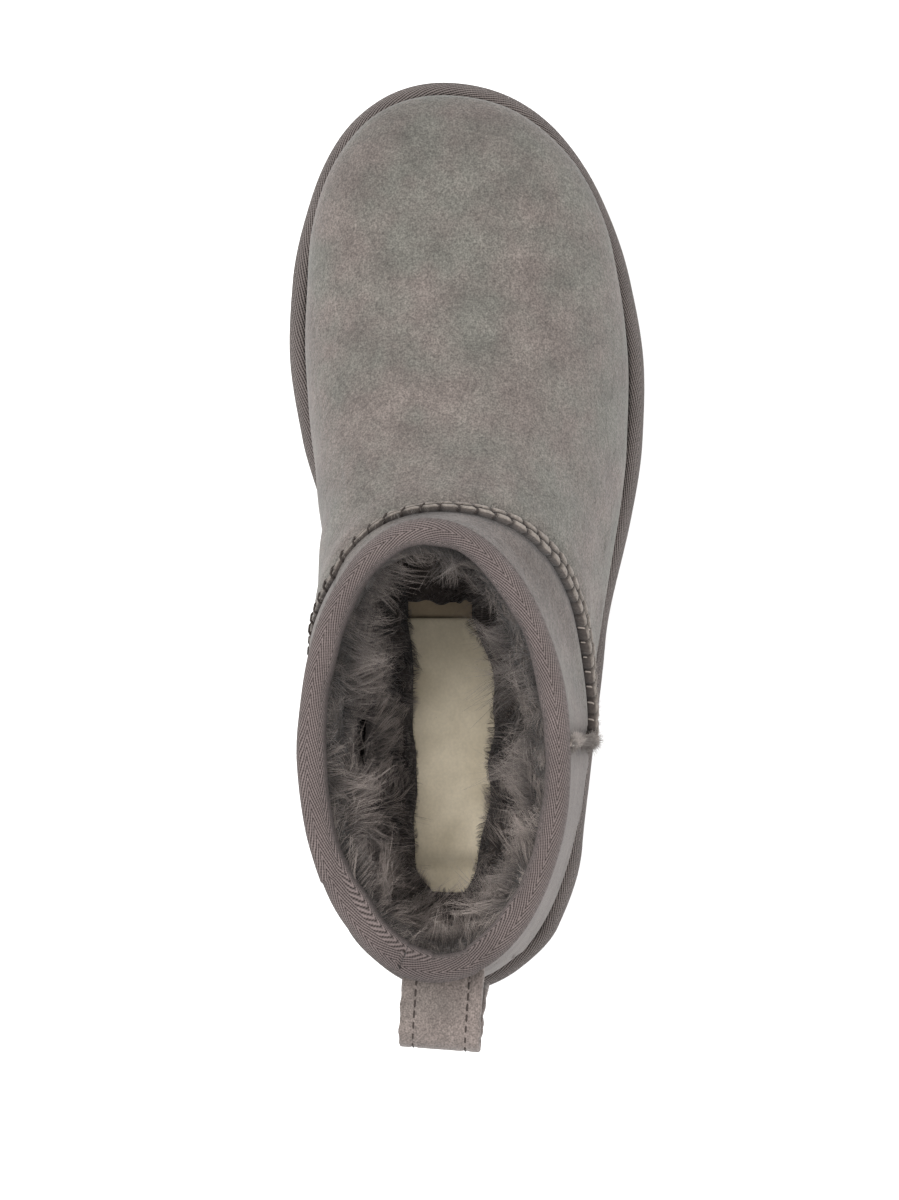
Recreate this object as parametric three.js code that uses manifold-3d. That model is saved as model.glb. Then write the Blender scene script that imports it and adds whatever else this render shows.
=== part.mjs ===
// An ankle-height sheepskin boot for the right foot, standing empty on its sole.
// Frame: +X towards the toe, +Y towards the inner (medial) side, +Z up, millimetres.
// The drawing has x = 0 at the back of the sole and y = 0 through the heel. The last step moves the
// whole boot so that the origin is under the middle of its box, on the ground.

import * as THREE from "three";
import { mergeVertices } from "three/addons/utils/BufferGeometryUtils.js";
import Module from "manifold-3d";

const wasm = await Module();
wasm.setup();

// ---------------------------------------------------------------- driving sizes

const SOLE_LENGTH = 261.5; // toe tip to heel, outside, a women's EU 38
const BALL_HALF = 51.2; // half of the width across the ball
const GAP = 0.3; // between pieces that touch

const COLLAR = { front: 117, back: 121, dip: 7, rim: 4.2 }; // heights of the topline, wall at the rim
const WALL = 10.8; // skin and wool together, below the rim
const RIM_DEPTH = 8.5; // how far down the wall stays as thin as the rim, under the tape's two flaps
const FULL_WALL_DEPTH = 22; // how far down the wall has its full thickness

const TAPE_THICK = 1.1; // the tape folded over the rim
const BINDING = { height: 9, width: 4.9, least: 2.4 }; // the tape-covered edge round the foot of the upper
const INSOLE_THICK = 5.5;
const INSOLE_CLEAR = 0.6; // the wool stands back this far from the insole's edge
const LUG_DEPTH = 2.6;

const LOOP = { width: 22, thick: 2.6, yaw: 4, side: -2.6 }; // pull loop, turned a little inwards

const AROUND = { heel: 10, side: 13, toe: 12 }; // steps round a quarter heel, one side, a quarter toe

// Outline of the sole in plan: half-width and the middle's shift towards the inner side.
const OUTLINE = [
  { x: 0, half: 0, middle: 0 },
  { x: 7.3, half: 19.9, middle: 0 },
  { x: 18.9, half: 30.4, middle: 0 },
  { x: 42, half: 36.4, middle: -0.9 },
  { x: 66, half: 36.6, middle: -3.3 },
  { x: 100, half: 37.5, middle: -6.2 },
  { x: 135, half: 44, middle: -6.8 },
  { x: 159, half: 49.2, middle: -5.2 },
  { x: 182, half: BALL_HALF, middle: -3.5 },
  { x: 205, half: 48.9, middle: -2 },
  { x: 228.5, half: 42.1, middle: -0.7 },
  { x: 246, half: 32.2, middle: 0.6 },
  { x: 257, half: 18.9, middle: 1.5 },
  { x: SOLE_LENGTH, half: 0, middle: 3 },
];

// Heights of the sole's ground side and of its upper side.
const SOLE_SIDE = [
  { x: 0, ground: 3, top: 26.5 },
  { x: 6, ground: 1, top: 26.4 },
  { x: 12, ground: 0, top: 26.2 },
  { x: 40, ground: 0, top: 25.6 },
  { x: 76, ground: 0, top: 23.6 },
  { x: 86, ground: 0.7, top: 22.7 },
  { x: 108, ground: 2, top: 20.6 },
  { x: 132, ground: 0.6, top: 18.7 },
  { x: 142, ground: 0, top: 18.2 },
  { x: 192, ground: 0, top: 18.6 },
  { x: 206, ground: 0.9, top: 19.8 },
  { x: 222, ground: 3, top: 21.6 },
  { x: 242, ground: 7.6, top: 25 },
  { x: SOLE_LENGTH, ground: 14, top: 29 },
];

// The foot part of the upper: its half-width and middle where it is widest, and the arch above that,
// with the side shift of its crest and its height.
const FOOT = [
  { x: 12, half: 0, middle: 0, crest: 0, arch: 0 },
  { x: 30, half: 22, middle: -0.5, crest: 2, arch: 38 },
  { x: 60, half: 33.2, middle: -3, crest: 5, arch: 58 },
  { x: 90, half: 36.6, middle: -5, crest: 7, arch: 70 },
  { x: 118, half: 39.7, middle: -6.2, crest: 5, arch: 72 },
  { x: 138, half: 42, middle: -6.7, crest: 2, arch: 62 },
  { x: 158, half: 44.2, middle: -6.1, crest: 1.5, arch: 49 },
  { x: 184, half: 45.7, middle: -5.2, crest: 1.5, arch: 38 },
  { x: 213, half: 43.2, middle: -3.6, crest: 2, arch: 28.5 },
  { x: 226, half: 39.9, middle: -2.8, crest: 2.2, arch: 24 },
  { x: 236, half: 35.3, middle: -2, crest: 2.4, arch: 19 },
  { x: 245, half: 28.4, middle: -0.8, crest: 2.4, arch: 13.5 },
  { x: 252, half: 19.6, middle: 0.6, crest: 2.4, arch: 8 },
  { x: 256.6, half: 0, middle: 2, crest: 2.4, arch: 0 },
];
const WIDEST_ABOVE_SOLE = 15; // height over the sole at which the foot part is widest
const FOOT_ROUNDNESS = 2.25; // exponent of the arch, 2 is an ellipse
const TIP_SIDE = 2; // and the toe's tip this far

// The leg part of the upper at a few heights.
const LEG = [
  { z: 15, back: 4.6, front: 116, half: 30.5 },
  { z: 34, back: 3.2, front: 118, half: 33.4 },
  { z: 55, back: 3.8, front: 122, half: 35.6 },
  { z: 82, back: 6.2, front: 127, half: 36.2 },
  { z: 105, back: 8.6, front: 130.5, half: 35.6 },
  { z: 130, back: 10.4, front: 132.5, half: 35.4 },
];
const LEG_ROUNDNESS = { back: 2.05, front: 2 };
const LEG_TURN = { front: 1.3, back: -1.2 }; // sideways shift of the leg's middle at its two ends
const THROAT_BLEND = 14; // how softly leg and foot run into each other
const DRAWN_IN = { from: 2, to: 22 }; // heights over the sole between which the wall leaves its outline
const TIP_ROUND = { plan: 40, side: 7 }; // radii of the toe's tip, from above and from the side
const PAST_END = 10; // distance given to points past the sole's ends or behind the heel of the foot

// ---------------------------------------------------------------- small helpers

const clamp01 = (t) => Math.min(1, Math.max(0, t));
const mix = (a, b, t) => a + (b - a) * t;
const smooth = (a, b, t) => {
  const s = clamp01((t - a) / (b - a));
  return s * s * (3 - 2 * s);
};

// A smooth curve through a table's column, with no overshoot between its rows.
function curve(rows, key, column) {
  const at = rows.map((row) => row[key]);
  const value = rows.map((row) => row[column]);
  const step = at.slice(1).map((x, i) => (value[i + 1] - value[i]) / (x - at[i]));
  const slope = at.map((_, i) => {
    if (i === 0) return step[0];
    if (i === at.length - 1) return step[i - 1];
    const [before, after] = [step[i - 1], step[i]];
    return before * after <= 0 ? 0 : (2 * before * after) / (before + after);
  });
  return (x) => {
    const inside = Math.min(Math.max(x, at[0]), at.at(-1));
    let i = 0;
    while (i < at.length - 2 && inside > at[i + 1]) i++;
    const width = at[i + 1] - at[i];
    const t = (inside - at[i]) / width;
    const u = 1 - t;
    return (
      u * u * (1 + 2 * t) * value[i] +
      u * u * t * width * slope[i] +
      t * t * (3 - 2 * t) * value[i + 1] -
      t * t * u * width * slope[i + 1]
    );
  };
}

// The same for a form that closes at both ends: the table is read along a half circle, so that the
// ends come out round.
function roundCurve(rows, column) {
  const first = rows[0].x;
  const length = rows.at(-1).x - first;
  const phase = (x) => Math.acos(1 - 2 * clamp01((x - first) / length));
  const inPhase = rows.map((row) => ({ phase: phase(row.x), value: row[column] }));
  const along = curve(inPhase, "phase", "value");
  return (x) => along(phase(x));
}

const outlineHalf = roundCurve(OUTLINE, "half");
const outlineMiddle = roundCurve(OUTLINE, "middle");
const groundHeight = curve(SOLE_SIDE, "x", "ground");
const soleTop = curve(SOLE_SIDE, "x", "top");
const footHalf = roundCurve(FOOT, "half");
const footMiddle = roundCurve(FOOT, "middle");
const footCrest = roundCurve(FOOT, "crest");
const footArch = roundCurve(FOOT, "arch");
const legBack = curve(LEG, "z", "back");
const legFront = curve(LEG, "z", "front");
const legHalf = curve(LEG, "z", "half");

// ---------------------------------------------------------------- the form of the upper

// Each form is a field: negative inside, zero on the surface.
function footField(x, y, z) {
  const widest = soleTop(x) + WIDEST_ABOVE_SOLE;
  const half = footHalf(x);
  const arch = Math.max(footArch(x), 0.01);
  const rise = Math.max(z - widest, 0);
  const middle = mix(footMiddle(x), footCrest(x), clamp01(rise / arch));
  const p = FOOT_ROUNDNESS;
  const across = Math.abs(y - middle) ** p + ((rise * half) / arch) ** p;
  return across ** (2 / p) - half * half;
}

function legField(x, y, z) {
  const back = legBack(z);
  const front = legFront(z);
  const half = legHalf(z);
  const centre = (back + front) / 2;
  const reach = (front - back) / 2;
  const along = (x - centre) / reach;
  const p = mix(LEG_ROUNDNESS.back, LEG_ROUNDNESS.front, smooth(-1, 1, along));
  const middle = mix(LEG_TURN.back, LEG_TURN.front, clamp01((along + 1) / 2));
  const size = Math.abs(along) ** p + Math.abs((y - middle) / half) ** p;
  return (size ** (2 / p) - 1) * half * half;
}

// A field divided by its own slope is close to a distance in millimetres.
function distanceOf(field, x, y, z) {
  const h = 0.05;
  const value = field(x, y, z);
  const slope = Math.hypot(
    field(x + h, y, z) - field(x - h, y, z),
    field(x, y + h, z) - field(x, y - h, z),
    field(x, y, z + h) - field(x, y, z - h),
  );
  return (value * 2 * h) / Math.max(slope, 1e-6);
}

// Plan distance from the sole's outline.
function outlineDistance(x, y) {
  const beyond = Math.max(-x, x - SOLE_LENGTH);
  const squared = (px, py) => (py - outlineMiddle(px)) ** 2 - outlineHalf(px) ** 2;
  return beyond >= 0 ? PAST_END + beyond : distanceOf(squared, x, y, 0);
}

// Distance from the foot part. In front of the toe it is the distance from the toe's rounded tip.
function footDistance(x, y, z) {
  const [heel, tip] = [FOOT[0], FOOT.at(-1)];
  if (x <= heel.x) return PAST_END + heel.x - x;
  const rise = Math.max(z - soleTop(x) - WIDEST_ABOVE_SOLE, 0);
  if (x >= tip.x) {
    const setBack = (y - tip.middle) ** 2 / TIP_ROUND.plan + rise ** 2 / TIP_ROUND.side;
    return x - tip.x + setBack / 2;
  }
  return distanceOf(footField, x, y, z);
}

// Distance from the upper's outer face: foot and leg blended, and drawn in to the sole's outline.
function outside(x, y, z) {
  const foot = footDistance(x, y, z);
  const leg = distanceOf(legField, x, y, z);
  const near = Math.max(THROAT_BLEND - Math.abs(foot - leg), 0);
  const joined = Math.min(foot, leg) - (near * near) / (4 * THROAT_BLEND);
  const rise = z - soleTop(x);
  const drawnIn = 1 - smooth(DRAWN_IN.from, DRAWN_IN.to, rise);
  return mix(joined, outlineDistance(x, y) + BINDING.width, drawnIn);
}

// Plan outline of the sole: negative inside.
function outlineField(x, y) {
  if (x <= 0) return -x + 1e-9;
  if (x >= SOLE_LENGTH) return x - SOLE_LENGTH + 1e-9;
  return Math.abs(y - outlineMiddle(x)) - outlineHalf(x);
}

const collarHeight = (x) => {
  const s = clamp01((x - legBack(COLLAR.back)) / (legFront(COLLAR.front) - legBack(COLLAR.back)));
  return mix(COLLAR.back, COLLAR.front, s) - COLLAR.dip * 4 * s * (1 - s);
};

// Thickness of the wall, thin at the rim where the tape squeezes it.
const wallAt = (x, z) =>
  mix(COLLAR.rim, WALL, smooth(RIM_DEPTH, FULL_WALL_DEPTH, collarHeight(x) - z));

// ---------------------------------------------------------------- rays round the foot

// Levels run from the sole (0) to the topline (1). Each one has its heights at the heel and in front,
// the radius of its front end, and the place where that end is.
const HEEL_CENTRE = 40;
const LEVELS = [
  { level: 0, front: soleTop(FOOT.at(-1).x), radius: 45 },
  { level: 0.1, front: 38, radius: 45 },
  { level: 0.2, front: 48, radius: 44 },
  { level: 0.35, front: 58.5, radius: 42 },
  { level: 0.5, front: 67, radius: 40 },
  { level: 0.65, front: 78, radius: 37 },
  { level: 0.8, front: 92, radius: 35 },
  { level: 1, front: COLLAR.front, radius: 34 },
];
const levelFront = curve(LEVELS, "level", "front");
const levelRadius = curve(LEVELS, "level", "radius");

// Where the value of a rising function passes zero, between two places.
function crossing(f, low, high) {
  let [a, b] = [low, high];
  for (let i = 0; i < 44; i++) {
    const m = (a + b) / 2;
    if (f(m) < 0) a = m;
    else b = m;
  }
  return (a + b) / 2;
}

function level(v) {
  const zFront = levelFront(v);
  const zBack = mix(soleTop(0), COLLAR.back, v);
  const xFront = crossing((x) => outside(x, TIP_SIDE, zFront), HEEL_CENTRE + 40, SOLE_LENGTH);
  const xBack = legBack(zBack);
  const height = (x) => {
    const s = clamp01((x - xBack) / (xFront - xBack));
    const soleSag = soleTop(x) - mix(soleTop(0), soleTop(xFront), s);
    const line = mix(zBack, zFront, s) - COLLAR.dip * 4 * s * (1 - s) * v * v;
    return line + soleSag * (1 - v) ** 2;
  };
  return { height, toeCentre: xFront - levelRadius(v), v };
}

// The ray of each step round the foot, from a point inside outwards, starting behind the heel.
function raysAt({ toeCentre, v }) {
  const quarter = Math.PI / 2;
  const rays = [];
  const add = (x, angle) => {
    const middle = mix(footMiddle(x), LEG_TURN.front, v);
    rays.push({ x, y: middle, dx: -Math.cos(angle), dy: Math.sin(angle) });
  };
  const { heel, side, toe } = AROUND;
  for (let i = 0; i < heel; i++) add(HEEL_CENTRE, (quarter * i) / heel);
  for (let i = 0; i < side; i++) add(mix(HEEL_CENTRE, toeCentre, i / side), quarter);
  for (let i = 0; i < 2 * toe; i++) add(toeCentre, quarter * (1 + i / toe));
  for (let i = 0; i < side; i++) add(mix(toeCentre, HEEL_CENTRE, i / side), 3 * quarter);
  for (let i = 0; i < heel; i++) add(HEEL_CENTRE, quarter * (3 + i / heel));
  return rays;
}

// One closed ring of points where a field passes a value, along the rays of a level.
function ring(at, height, reaches) {
  return raysAt(at).map(({ x, y, dx, dy }) => {
    const point = (t) => {
      const px = x + dx * t;
      return [px, y + dy * t, height(px)];
    };
    const t = crossing((s) => reaches(...point(s)), 0, 90);
    return new THREE.Vector3(...point(t));
  });
}

const ringAtDistance = (at, height, distance) =>
  ring(at, height, (x, y, z) => outside(x, y, z) - distance);

const ringOnOutline = (at, height, inset) => {
  const points = ring(at, height, outlineField);
  return inset === 0 ? points : insetRing(points, inset, height);
};

// Moves each point of a plan ring inwards, square to the ring.
function insetRing(points, inset, height) {
  const n = points.length;
  return points.map((point, i) => {
    const before = points[(i + n - 1) % n];
    const after = points[(i + 1) % n];
    const along = new THREE.Vector3(after.x - before.x, after.y - before.y, 0).normalize();
    const x = point.x + along.y * inset;
    return new THREE.Vector3(x, point.y - along.x * inset, height(x));
  });
}

// ---------------------------------------------------------------- meshes and solids

function geometryOf(points, triangles) {
  const geometry = new THREE.BufferGeometry();
  geometry.setFromPoints(points);
  geometry.setIndex(triangles);
  return geometry;
}

// Side faces between neighbouring rings, which run clockwise seen from above. Each quad is split
// the same way whether its rings go up or down, so that two faces side by side fit each other.
function skin(rings, closed) {
  const n = rings[0].length;
  const triangles = [];
  const last = closed ? rings.length : rings.length - 1;
  for (let r = 0; r < last; r++) {
    const next = (r + 1) % rings.length;
    const falling = rings[next][0].z < rings[r][0].z;
    for (let i = 0; i < n; i++) {
      const j = (i + 1) % n;
      const [a, b] = [r * n + i, r * n + j];
      const [c, d] = [next * n + i, next * n + j];
      triangles.push(...(falling ? [a, c, d, a, d, b] : [a, c, b, b, c, d]));
    }
  }
  return triangles;
}

// A ring-shaped solid: the rings go up one side and down the other, back to the first.
const tubeSolid = (rings) => geometryOf(rings.flat(), skin(rings, true));

// A slab: rings from the bottom up, closed by rungs across its two ends.
function slabSolid(rings) {
  const n = rings[0].length;
  const triangles = skin(rings, false);
  const cap = (base, up) => {
    for (let i = 0; i < n / 2; i++) {
      const [a, b] = [base + i, base + i + 1];
      const [c, d] = [base + ((n - i) % n), base + n - i - 1];
      const faces = [
        [a, b, c],
        [b, d, c],
      ];
      for (const [p, q, r] of faces) {
        if (p === q || q === r || r === p) continue;
        triangles.push(...(up ? [p, r, q] : [p, q, r]));
      }
    }
  };
  cap(0, false);
  cap((rings.length - 1) * n, true);
  return geometryOf(rings.flat(), triangles);
}

function toManifold(geometry) {
  const plain = geometry.index ? geometry.toNonIndexed() : geometry.clone();
  plain.deleteAttribute("normal");
  plain.deleteAttribute("uv");
  const merged = mergeVertices(plain, 1e-4);
  return new wasm.Manifold(
    new wasm.Mesh({
      numProp: 3,
      vertProperties: merged.attributes.position.array,
      triVerts: new Uint32Array(merged.index.array),
    }),
  );
}

function fromManifold(solid) {
  const { vertProperties, triVerts } = solid.getMesh();
  const geometry = new THREE.BufferGeometry();
  geometry.setAttribute("position", new THREE.BufferAttribute(new Float32Array(vertProperties), 3));
  geometry.setIndex(new THREE.BufferAttribute(new Uint32Array(triVerts), 1));
  return geometry;
}

// ---------------------------------------------------------------- the pieces

// One hollow shell from the sole to the topline, open at both.
function upperShell() {
  const rises = [GAP, INSOLE_THICK / 2, INSOLE_THICK, BINDING.height];
  const steps = [0.13, 0.19, 0.25, 0.32, 0.4, 0.5, 0.6, 0.68, 0.76, 0.84];
  const [bottom, top] = [level(0), level(1)];
  const rings = [
    ...rises.map((rise) => [bottom, (x) => soleTop(x) + rise]),
    ...steps.map(level).map((at) => [at, at.height]),
    [top, (x) => top.height(x) - RIM_DEPTH],
    [top, (x) => top.height(x) - RIM_DEPTH / 2],
    [top, top.height],
  ];
  const outer = rings.map(([at, height]) => ringAtDistance(at, height, 0));
  const inner = rings.map(([at, height]) =>
    ring(at, height, (x, y, z) => outside(x, y, z) + wallAt(x, z)),
  );
  return tubeSolid([...outer, ...inner.reverse()]);
}

// The tape folded over the rim: up the outside, over, and down the inside, then back under itself.
function collarTape() {
  const at = level(1);
  const inside = COLLAR.rim + GAP;
  const lines = [
    [GAP, -RIM_DEPTH],
    [GAP + TAPE_THICK, -RIM_DEPTH],
    [GAP + TAPE_THICK, -RIM_DEPTH / 2],
    [GAP + TAPE_THICK, GAP],
    [0, GAP + TAPE_THICK],
    [-COLLAR.rim, GAP + TAPE_THICK],
    [-inside - TAPE_THICK, GAP],
    [-inside - TAPE_THICK, -RIM_DEPTH],
    [-inside, -RIM_DEPTH],
    [-inside, -RIM_DEPTH / 2],
    [-inside, GAP],
    [GAP, GAP],
    [GAP, -RIM_DEPTH / 2],
  ];
  return tubeSolid(
    lines.map(([distance, rise]) => ringAtDistance(at, (x) => at.height(x) + rise, distance)),
  );
}

// The tape-covered edge that runs round the upper on top of the sole.
function soleBinding() {
  const at = level(0);
  const { height } = BINDING;
  const onSole = (rise) => (x) => soleTop(x) + rise;
  const inner = (rise) => ringAtDistance(at, onSole(rise), GAP);
  const outer = (rise) =>
    ring(at, onSole(rise), (x, y, z) =>
      Math.min(outlineField(x, y), outside(x, y, z) - BINDING.least),
    );
  const between = (rise, share) => {
    const [a, b] = [inner(rise), outer(rise)];
    return a.map((point, i) => point.clone().lerp(b[i], share));
  };
  return tubeSolid([
    inner(GAP),
    outer(GAP),
    outer(height * 0.4),
    between(height * 0.72, 0.86),
    between(height * 0.92, 0.5),
    inner(height),
    inner(INSOLE_THICK),
    inner(INSOLE_THICK / 2),
  ]);
}

// The footbed, cupped a little at the heel.
function insoleBed() {
  const at = level(0);
  const edge = (rise) =>
    ring(
      at,
      (x) => soleTop(x) + rise,
      (x, y, z) => outside(x, y, z) + wallAt(x, z) + INSOLE_CLEAR,
    );
  return slabSolid([edge(GAP), edge(INSOLE_THICK / 2), edge(INSOLE_THICK)]);
}

// Grooves across the sole, in a shallow V, each as deep as the lugs.
function treadGrooves() {
  const pitch = 9.5;
  const width = 3.2;
  const vee = 6;
  const half = BALL_HALF + 8;
  const spans = [
    { from: 12, to: 74 },
    { from: 143, to: 240 },
  ];
  const grooves = [];
  for (const { from, to } of spans) {
    const count = Math.floor((to - from) / pitch);
    for (let i = 0; i <= count; i++) {
      const x = from + i * pitch;
      const bar = new THREE.Shape([
        new THREE.Vector2(x, -half),
        new THREE.Vector2(x + width, -half),
        new THREE.Vector2(x + width + vee, 0),
        new THREE.Vector2(x + width, half),
        new THREE.Vector2(x, half),
        new THREE.Vector2(x + vee, 0),
      ]);
      const geometry = new THREE.ExtrudeGeometry(bar, { depth: 20, bevelEnabled: false });
      const middle = x + (width + vee) / 2;
      const rise = (groundHeight(middle + 6) - groundHeight(middle - 6)) / 12;
      geometry.translate(-middle, 0, -20);
      geometry.rotateY(-Math.atan(rise));
      geometry.translate(middle, 0, groundHeight(middle) + LUG_DEPTH);
      grooves.push(toManifold(geometry));
    }
  }
  return grooves;
}

// The moulded sole: a slab with a shallow waist in its side wall, a flat heel and a flat forefoot.
function outsole() {
  const at = level(0);
  const side = (share, inset) =>
    ringOnOutline(at, (x) => mix(groundHeight(x), soleTop(x), share), inset);
  const slab = slabSolid([
    side(0, 3.4),
    side(0.09, 1.8),
    side(0.3, 0.9),
    side(0.72, 0.7),
    side(0.8, 1.5),
    side(0.88, 0.7),
    side(1, 0.5),
  ]);
  return fromManifold(
    treadGrooves().reduce((body, groove) => body.subtract(groove), toManifold(slab)),
  );
}

// A strip of doubled suede that leaves the back of the leg under the tape, turns round and comes
// back down to the heel. Its ends are cut to the leg.
function pullLoop() {
  const path = new THREE.CatmullRomCurve3(
    [
      [16, 108.6],
      [6, 110.2],
      [-3, 110.2],
      [-8.8, 107.6],
      [-9.6, 102.4],
      [-5.2, 96.6],
      [1.6, 91.6],
      [4.8, 86],
      [5.4, 79],
    ].map(([x, z]) => new THREE.Vector3(x, z, 0)),
    false,
    "centripetal",
  );
  const steps = 30;
  const [above, below] = [[], []];
  for (let i = 0; i <= steps; i++) {
    const point = path.getPointAt(i / steps);
    const along = path.getTangentAt(i / steps);
    const square = new THREE.Vector2(-along.y, along.x).multiplyScalar(LOOP.thick / 2);
    above.push(new THREE.Vector2(point.x + square.x, point.y + square.y));
    below.push(new THREE.Vector2(point.x - square.x, point.y - square.y));
  }
  const strip = new THREE.ExtrudeGeometry(new THREE.Shape([...above, ...below.reverse()]), {
    depth: LOOP.width,
    bevelEnabled: false,
  });
  strip.translate(0, 0, -LOOP.width / 2);
  strip.rotateX(Math.PI / 2);
  strip.translate(-10, 0, 0);
  strip.rotateZ(THREE.MathUtils.degToRad(-LOOP.yaw));
  strip.translate(10, LOOP.side, 0);
  const leg = slabSolid(
    [0.3, 0.4, 0.5, 0.6, 0.7, 0.8, 0.9, 1].map((v) => {
      const at = level(v);
      return ringAtDistance(at, at.height, GAP);
    }),
  );
  return fromManifold(toManifold(strip).subtract(toManifold(leg)));
}

// ---------------------------------------------------------------- the assembly

const finish = (hex, roughness) =>
  new THREE.MeshStandardMaterial({ color: hex, roughness, metalness: 0 });

const PIECES = [
  ["outsole", outsole, finish(0x55504d, 0.85)],
  ["sole_binding", soleBinding, finish(0x625c5a, 0.95)],
  ["upper", upperShell, finish(0x8b8480, 0.95)],
  ["collar_tape", collarTape, finish(0x70686a, 0.95)],
  ["insole", insoleBed, finish(0xa89e8d, 0.9)],
  ["pull_loop", pullLoop, finish(0x8f8683, 0.95)],
];

const boot = new THREE.Group();
for (const [name, build, material] of PIECES) {
  const mesh = new THREE.Mesh(build(), material);
  mesh.name = name;
  boot.add(mesh);
}
const box = new THREE.Box3().setFromObject(boot);
const centre = box.getCenter(new THREE.Vector3());
boot.position.set(-centre.x, -centre.y, 0);

export default boot;
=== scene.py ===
"""Ankle-height sheepskin boot for the right foot, finished over its CAD solids.

The frame has +X to the toe, +Y to the inner side and +Z up, in metres. The boot is drawn in millimetres
with x = 0 at the back of the sole and y = 0 through the heel, and `Drawing` moves it into the frame.
"""

import logging
import math
from dataclasses import dataclass
from enum import Enum
from typing import Callable, Sequence

import bmesh
import bpy
import numpy as np
from mathutils import Matrix, Vector, noise
from mathutils.kdtree import KDTree


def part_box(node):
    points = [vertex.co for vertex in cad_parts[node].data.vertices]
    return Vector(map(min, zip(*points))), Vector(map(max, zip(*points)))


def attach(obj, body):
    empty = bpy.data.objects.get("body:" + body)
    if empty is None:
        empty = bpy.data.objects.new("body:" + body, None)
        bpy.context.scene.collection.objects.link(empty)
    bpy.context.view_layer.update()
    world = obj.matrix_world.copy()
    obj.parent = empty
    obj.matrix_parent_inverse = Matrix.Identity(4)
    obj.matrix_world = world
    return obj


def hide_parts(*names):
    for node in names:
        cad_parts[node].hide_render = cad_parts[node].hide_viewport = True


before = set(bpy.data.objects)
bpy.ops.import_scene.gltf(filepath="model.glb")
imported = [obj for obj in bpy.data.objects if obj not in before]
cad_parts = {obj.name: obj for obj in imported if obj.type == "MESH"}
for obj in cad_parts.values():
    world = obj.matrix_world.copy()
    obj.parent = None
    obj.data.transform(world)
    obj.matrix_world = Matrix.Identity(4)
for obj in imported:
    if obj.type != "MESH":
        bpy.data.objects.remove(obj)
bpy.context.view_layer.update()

LOG = logging.getLogger("boot")
MM = 0.001
RIB_REPEAT = 2.4

# ------------------------------------------------------------------ driving sizes, in millimetres

SOLE_LENGTH = 261.5
GAP = 0.3
COLLAR_FRONT, COLLAR_BACK, COLLAR_DIP, RIM = 117.0, 121.0, 7.0, 4.2
WALL, RIM_DEPTH, FULL_WALL_DEPTH = 10.8, 8.5, 22.0
TAPE_THICK = 1.1
BINDING_WIDTH, BINDING_LEAST = 4.9, 2.4
INSOLE_THICK, INSOLE_CLEAR = 5.5, 0.6
WIDEST_ABOVE_SOLE, FOOT_ROUNDNESS, THROAT_BLEND, PAST_END = 15.0, 2.25, 14.0, 10.0
DRAWN_IN = (2.0, 22.0)
TIP_SIDE = 2.0
TIP_ROUND_PLAN, TIP_ROUND_SIDE = 40.0, 7.0
LEG_ROUND_BACK, LEG_ROUND_FRONT = 2.05, 2.0
LEG_TURN_BACK, LEG_TURN_FRONT = -1.2, 1.3
HEEL_CENTRE = 40.0
LEG_CENTRE = 70.0
STITCH_PITCH = 5.0
THREAD_RADIUS, DARK_THREAD_RADIUS = 0.24, 0.32

Array = np.ndarray
Field = Callable[[Array, Array, Array], Array]


class Table:
    """A short table with named columns, one row per section."""

    def __init__(self, columns: str, *rows: tuple[float, ...]) -> None:
        """Args: columns: names with spaces between. rows: one tuple of numbers for each section."""
        for name, values in zip(columns.split(), np.array(rows, float).T):
            setattr(self, name, values)


OUTLINE = Table(
    "x half middle",
    (0, 0, 0),
    (7.3, 19.9, 0),
    (18.9, 30.4, 0),
    (42, 36.4, -0.9),
    (66, 36.6, -3.3),
    (100, 37.5, -6.2),
    (135, 44, -6.8),
    (159, 49.2, -5.2),
    (182, 51.2, -3.5),
    (205, 48.9, -2),
    (228.5, 42.1, -0.7),
    (246, 32.2, 0.6),
    (257, 18.9, 1.5),
    (SOLE_LENGTH, 0, 3),
)
SOLE_SIDE = Table(
    "x ground top",
    (0, 3, 26.5),
    (6, 1, 26.4),
    (12, 0, 26.2),
    (40, 0, 25.6),
    (76, 0, 23.6),
    (86, 0.7, 22.7),
    (108, 2, 20.6),
    (132, 0.6, 18.7),
    (142, 0, 18.2),
    (192, 0, 18.6),
    (206, 0.9, 19.8),
    (222, 3, 21.6),
    (242, 7.6, 25),
    (SOLE_LENGTH, 14, 29),
)
FOOT = Table(
    "x half middle crest arch",
    (12, 0, 0, 0, 0),
    (30, 22, -0.5, 2, 38),
    (60, 33.2, -3, 5, 58),
    (90, 36.6, -5, 7, 70),
    (118, 39.7, -6.2, 5, 72),
    (138, 42, -6.7, 2, 62),
    (158, 44.2, -6.1, 1.5, 49),
    (184, 45.7, -5.2, 1.5, 38),
    (213, 43.2, -3.6, 2, 28.5),
    (226, 39.9, -2.8, 2.2, 24),
    (236, 35.3, -2, 2.4, 19),
    (245, 28.4, -0.8, 2.4, 13.5),
    (252, 19.6, 0.6, 2.4, 8),
    (256.6, 0, 2, 2.4, 0),
)
LEG = Table(
    "z back front half",
    (15, 4.6, 116, 30.5),
    (34, 3.2, 118, 33.4),
    (55, 3.8, 122, 35.6),
    (82, 6.2, 127, 36.2),
    (105, 8.6, 130.5, 35.6),
    (130, 10.4, 132.5, 35.4),
)
LEVELS = Table(
    "level front radius",
    (0, 28.43, 45),
    (0.1, 38, 45),
    (0.2, 48, 44),
    (0.35, 58.5, 42),
    (0.5, 67, 40),
    (0.65, 78, 37),
    (0.8, 92, 35),
    (1, 117, 34),
)
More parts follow.
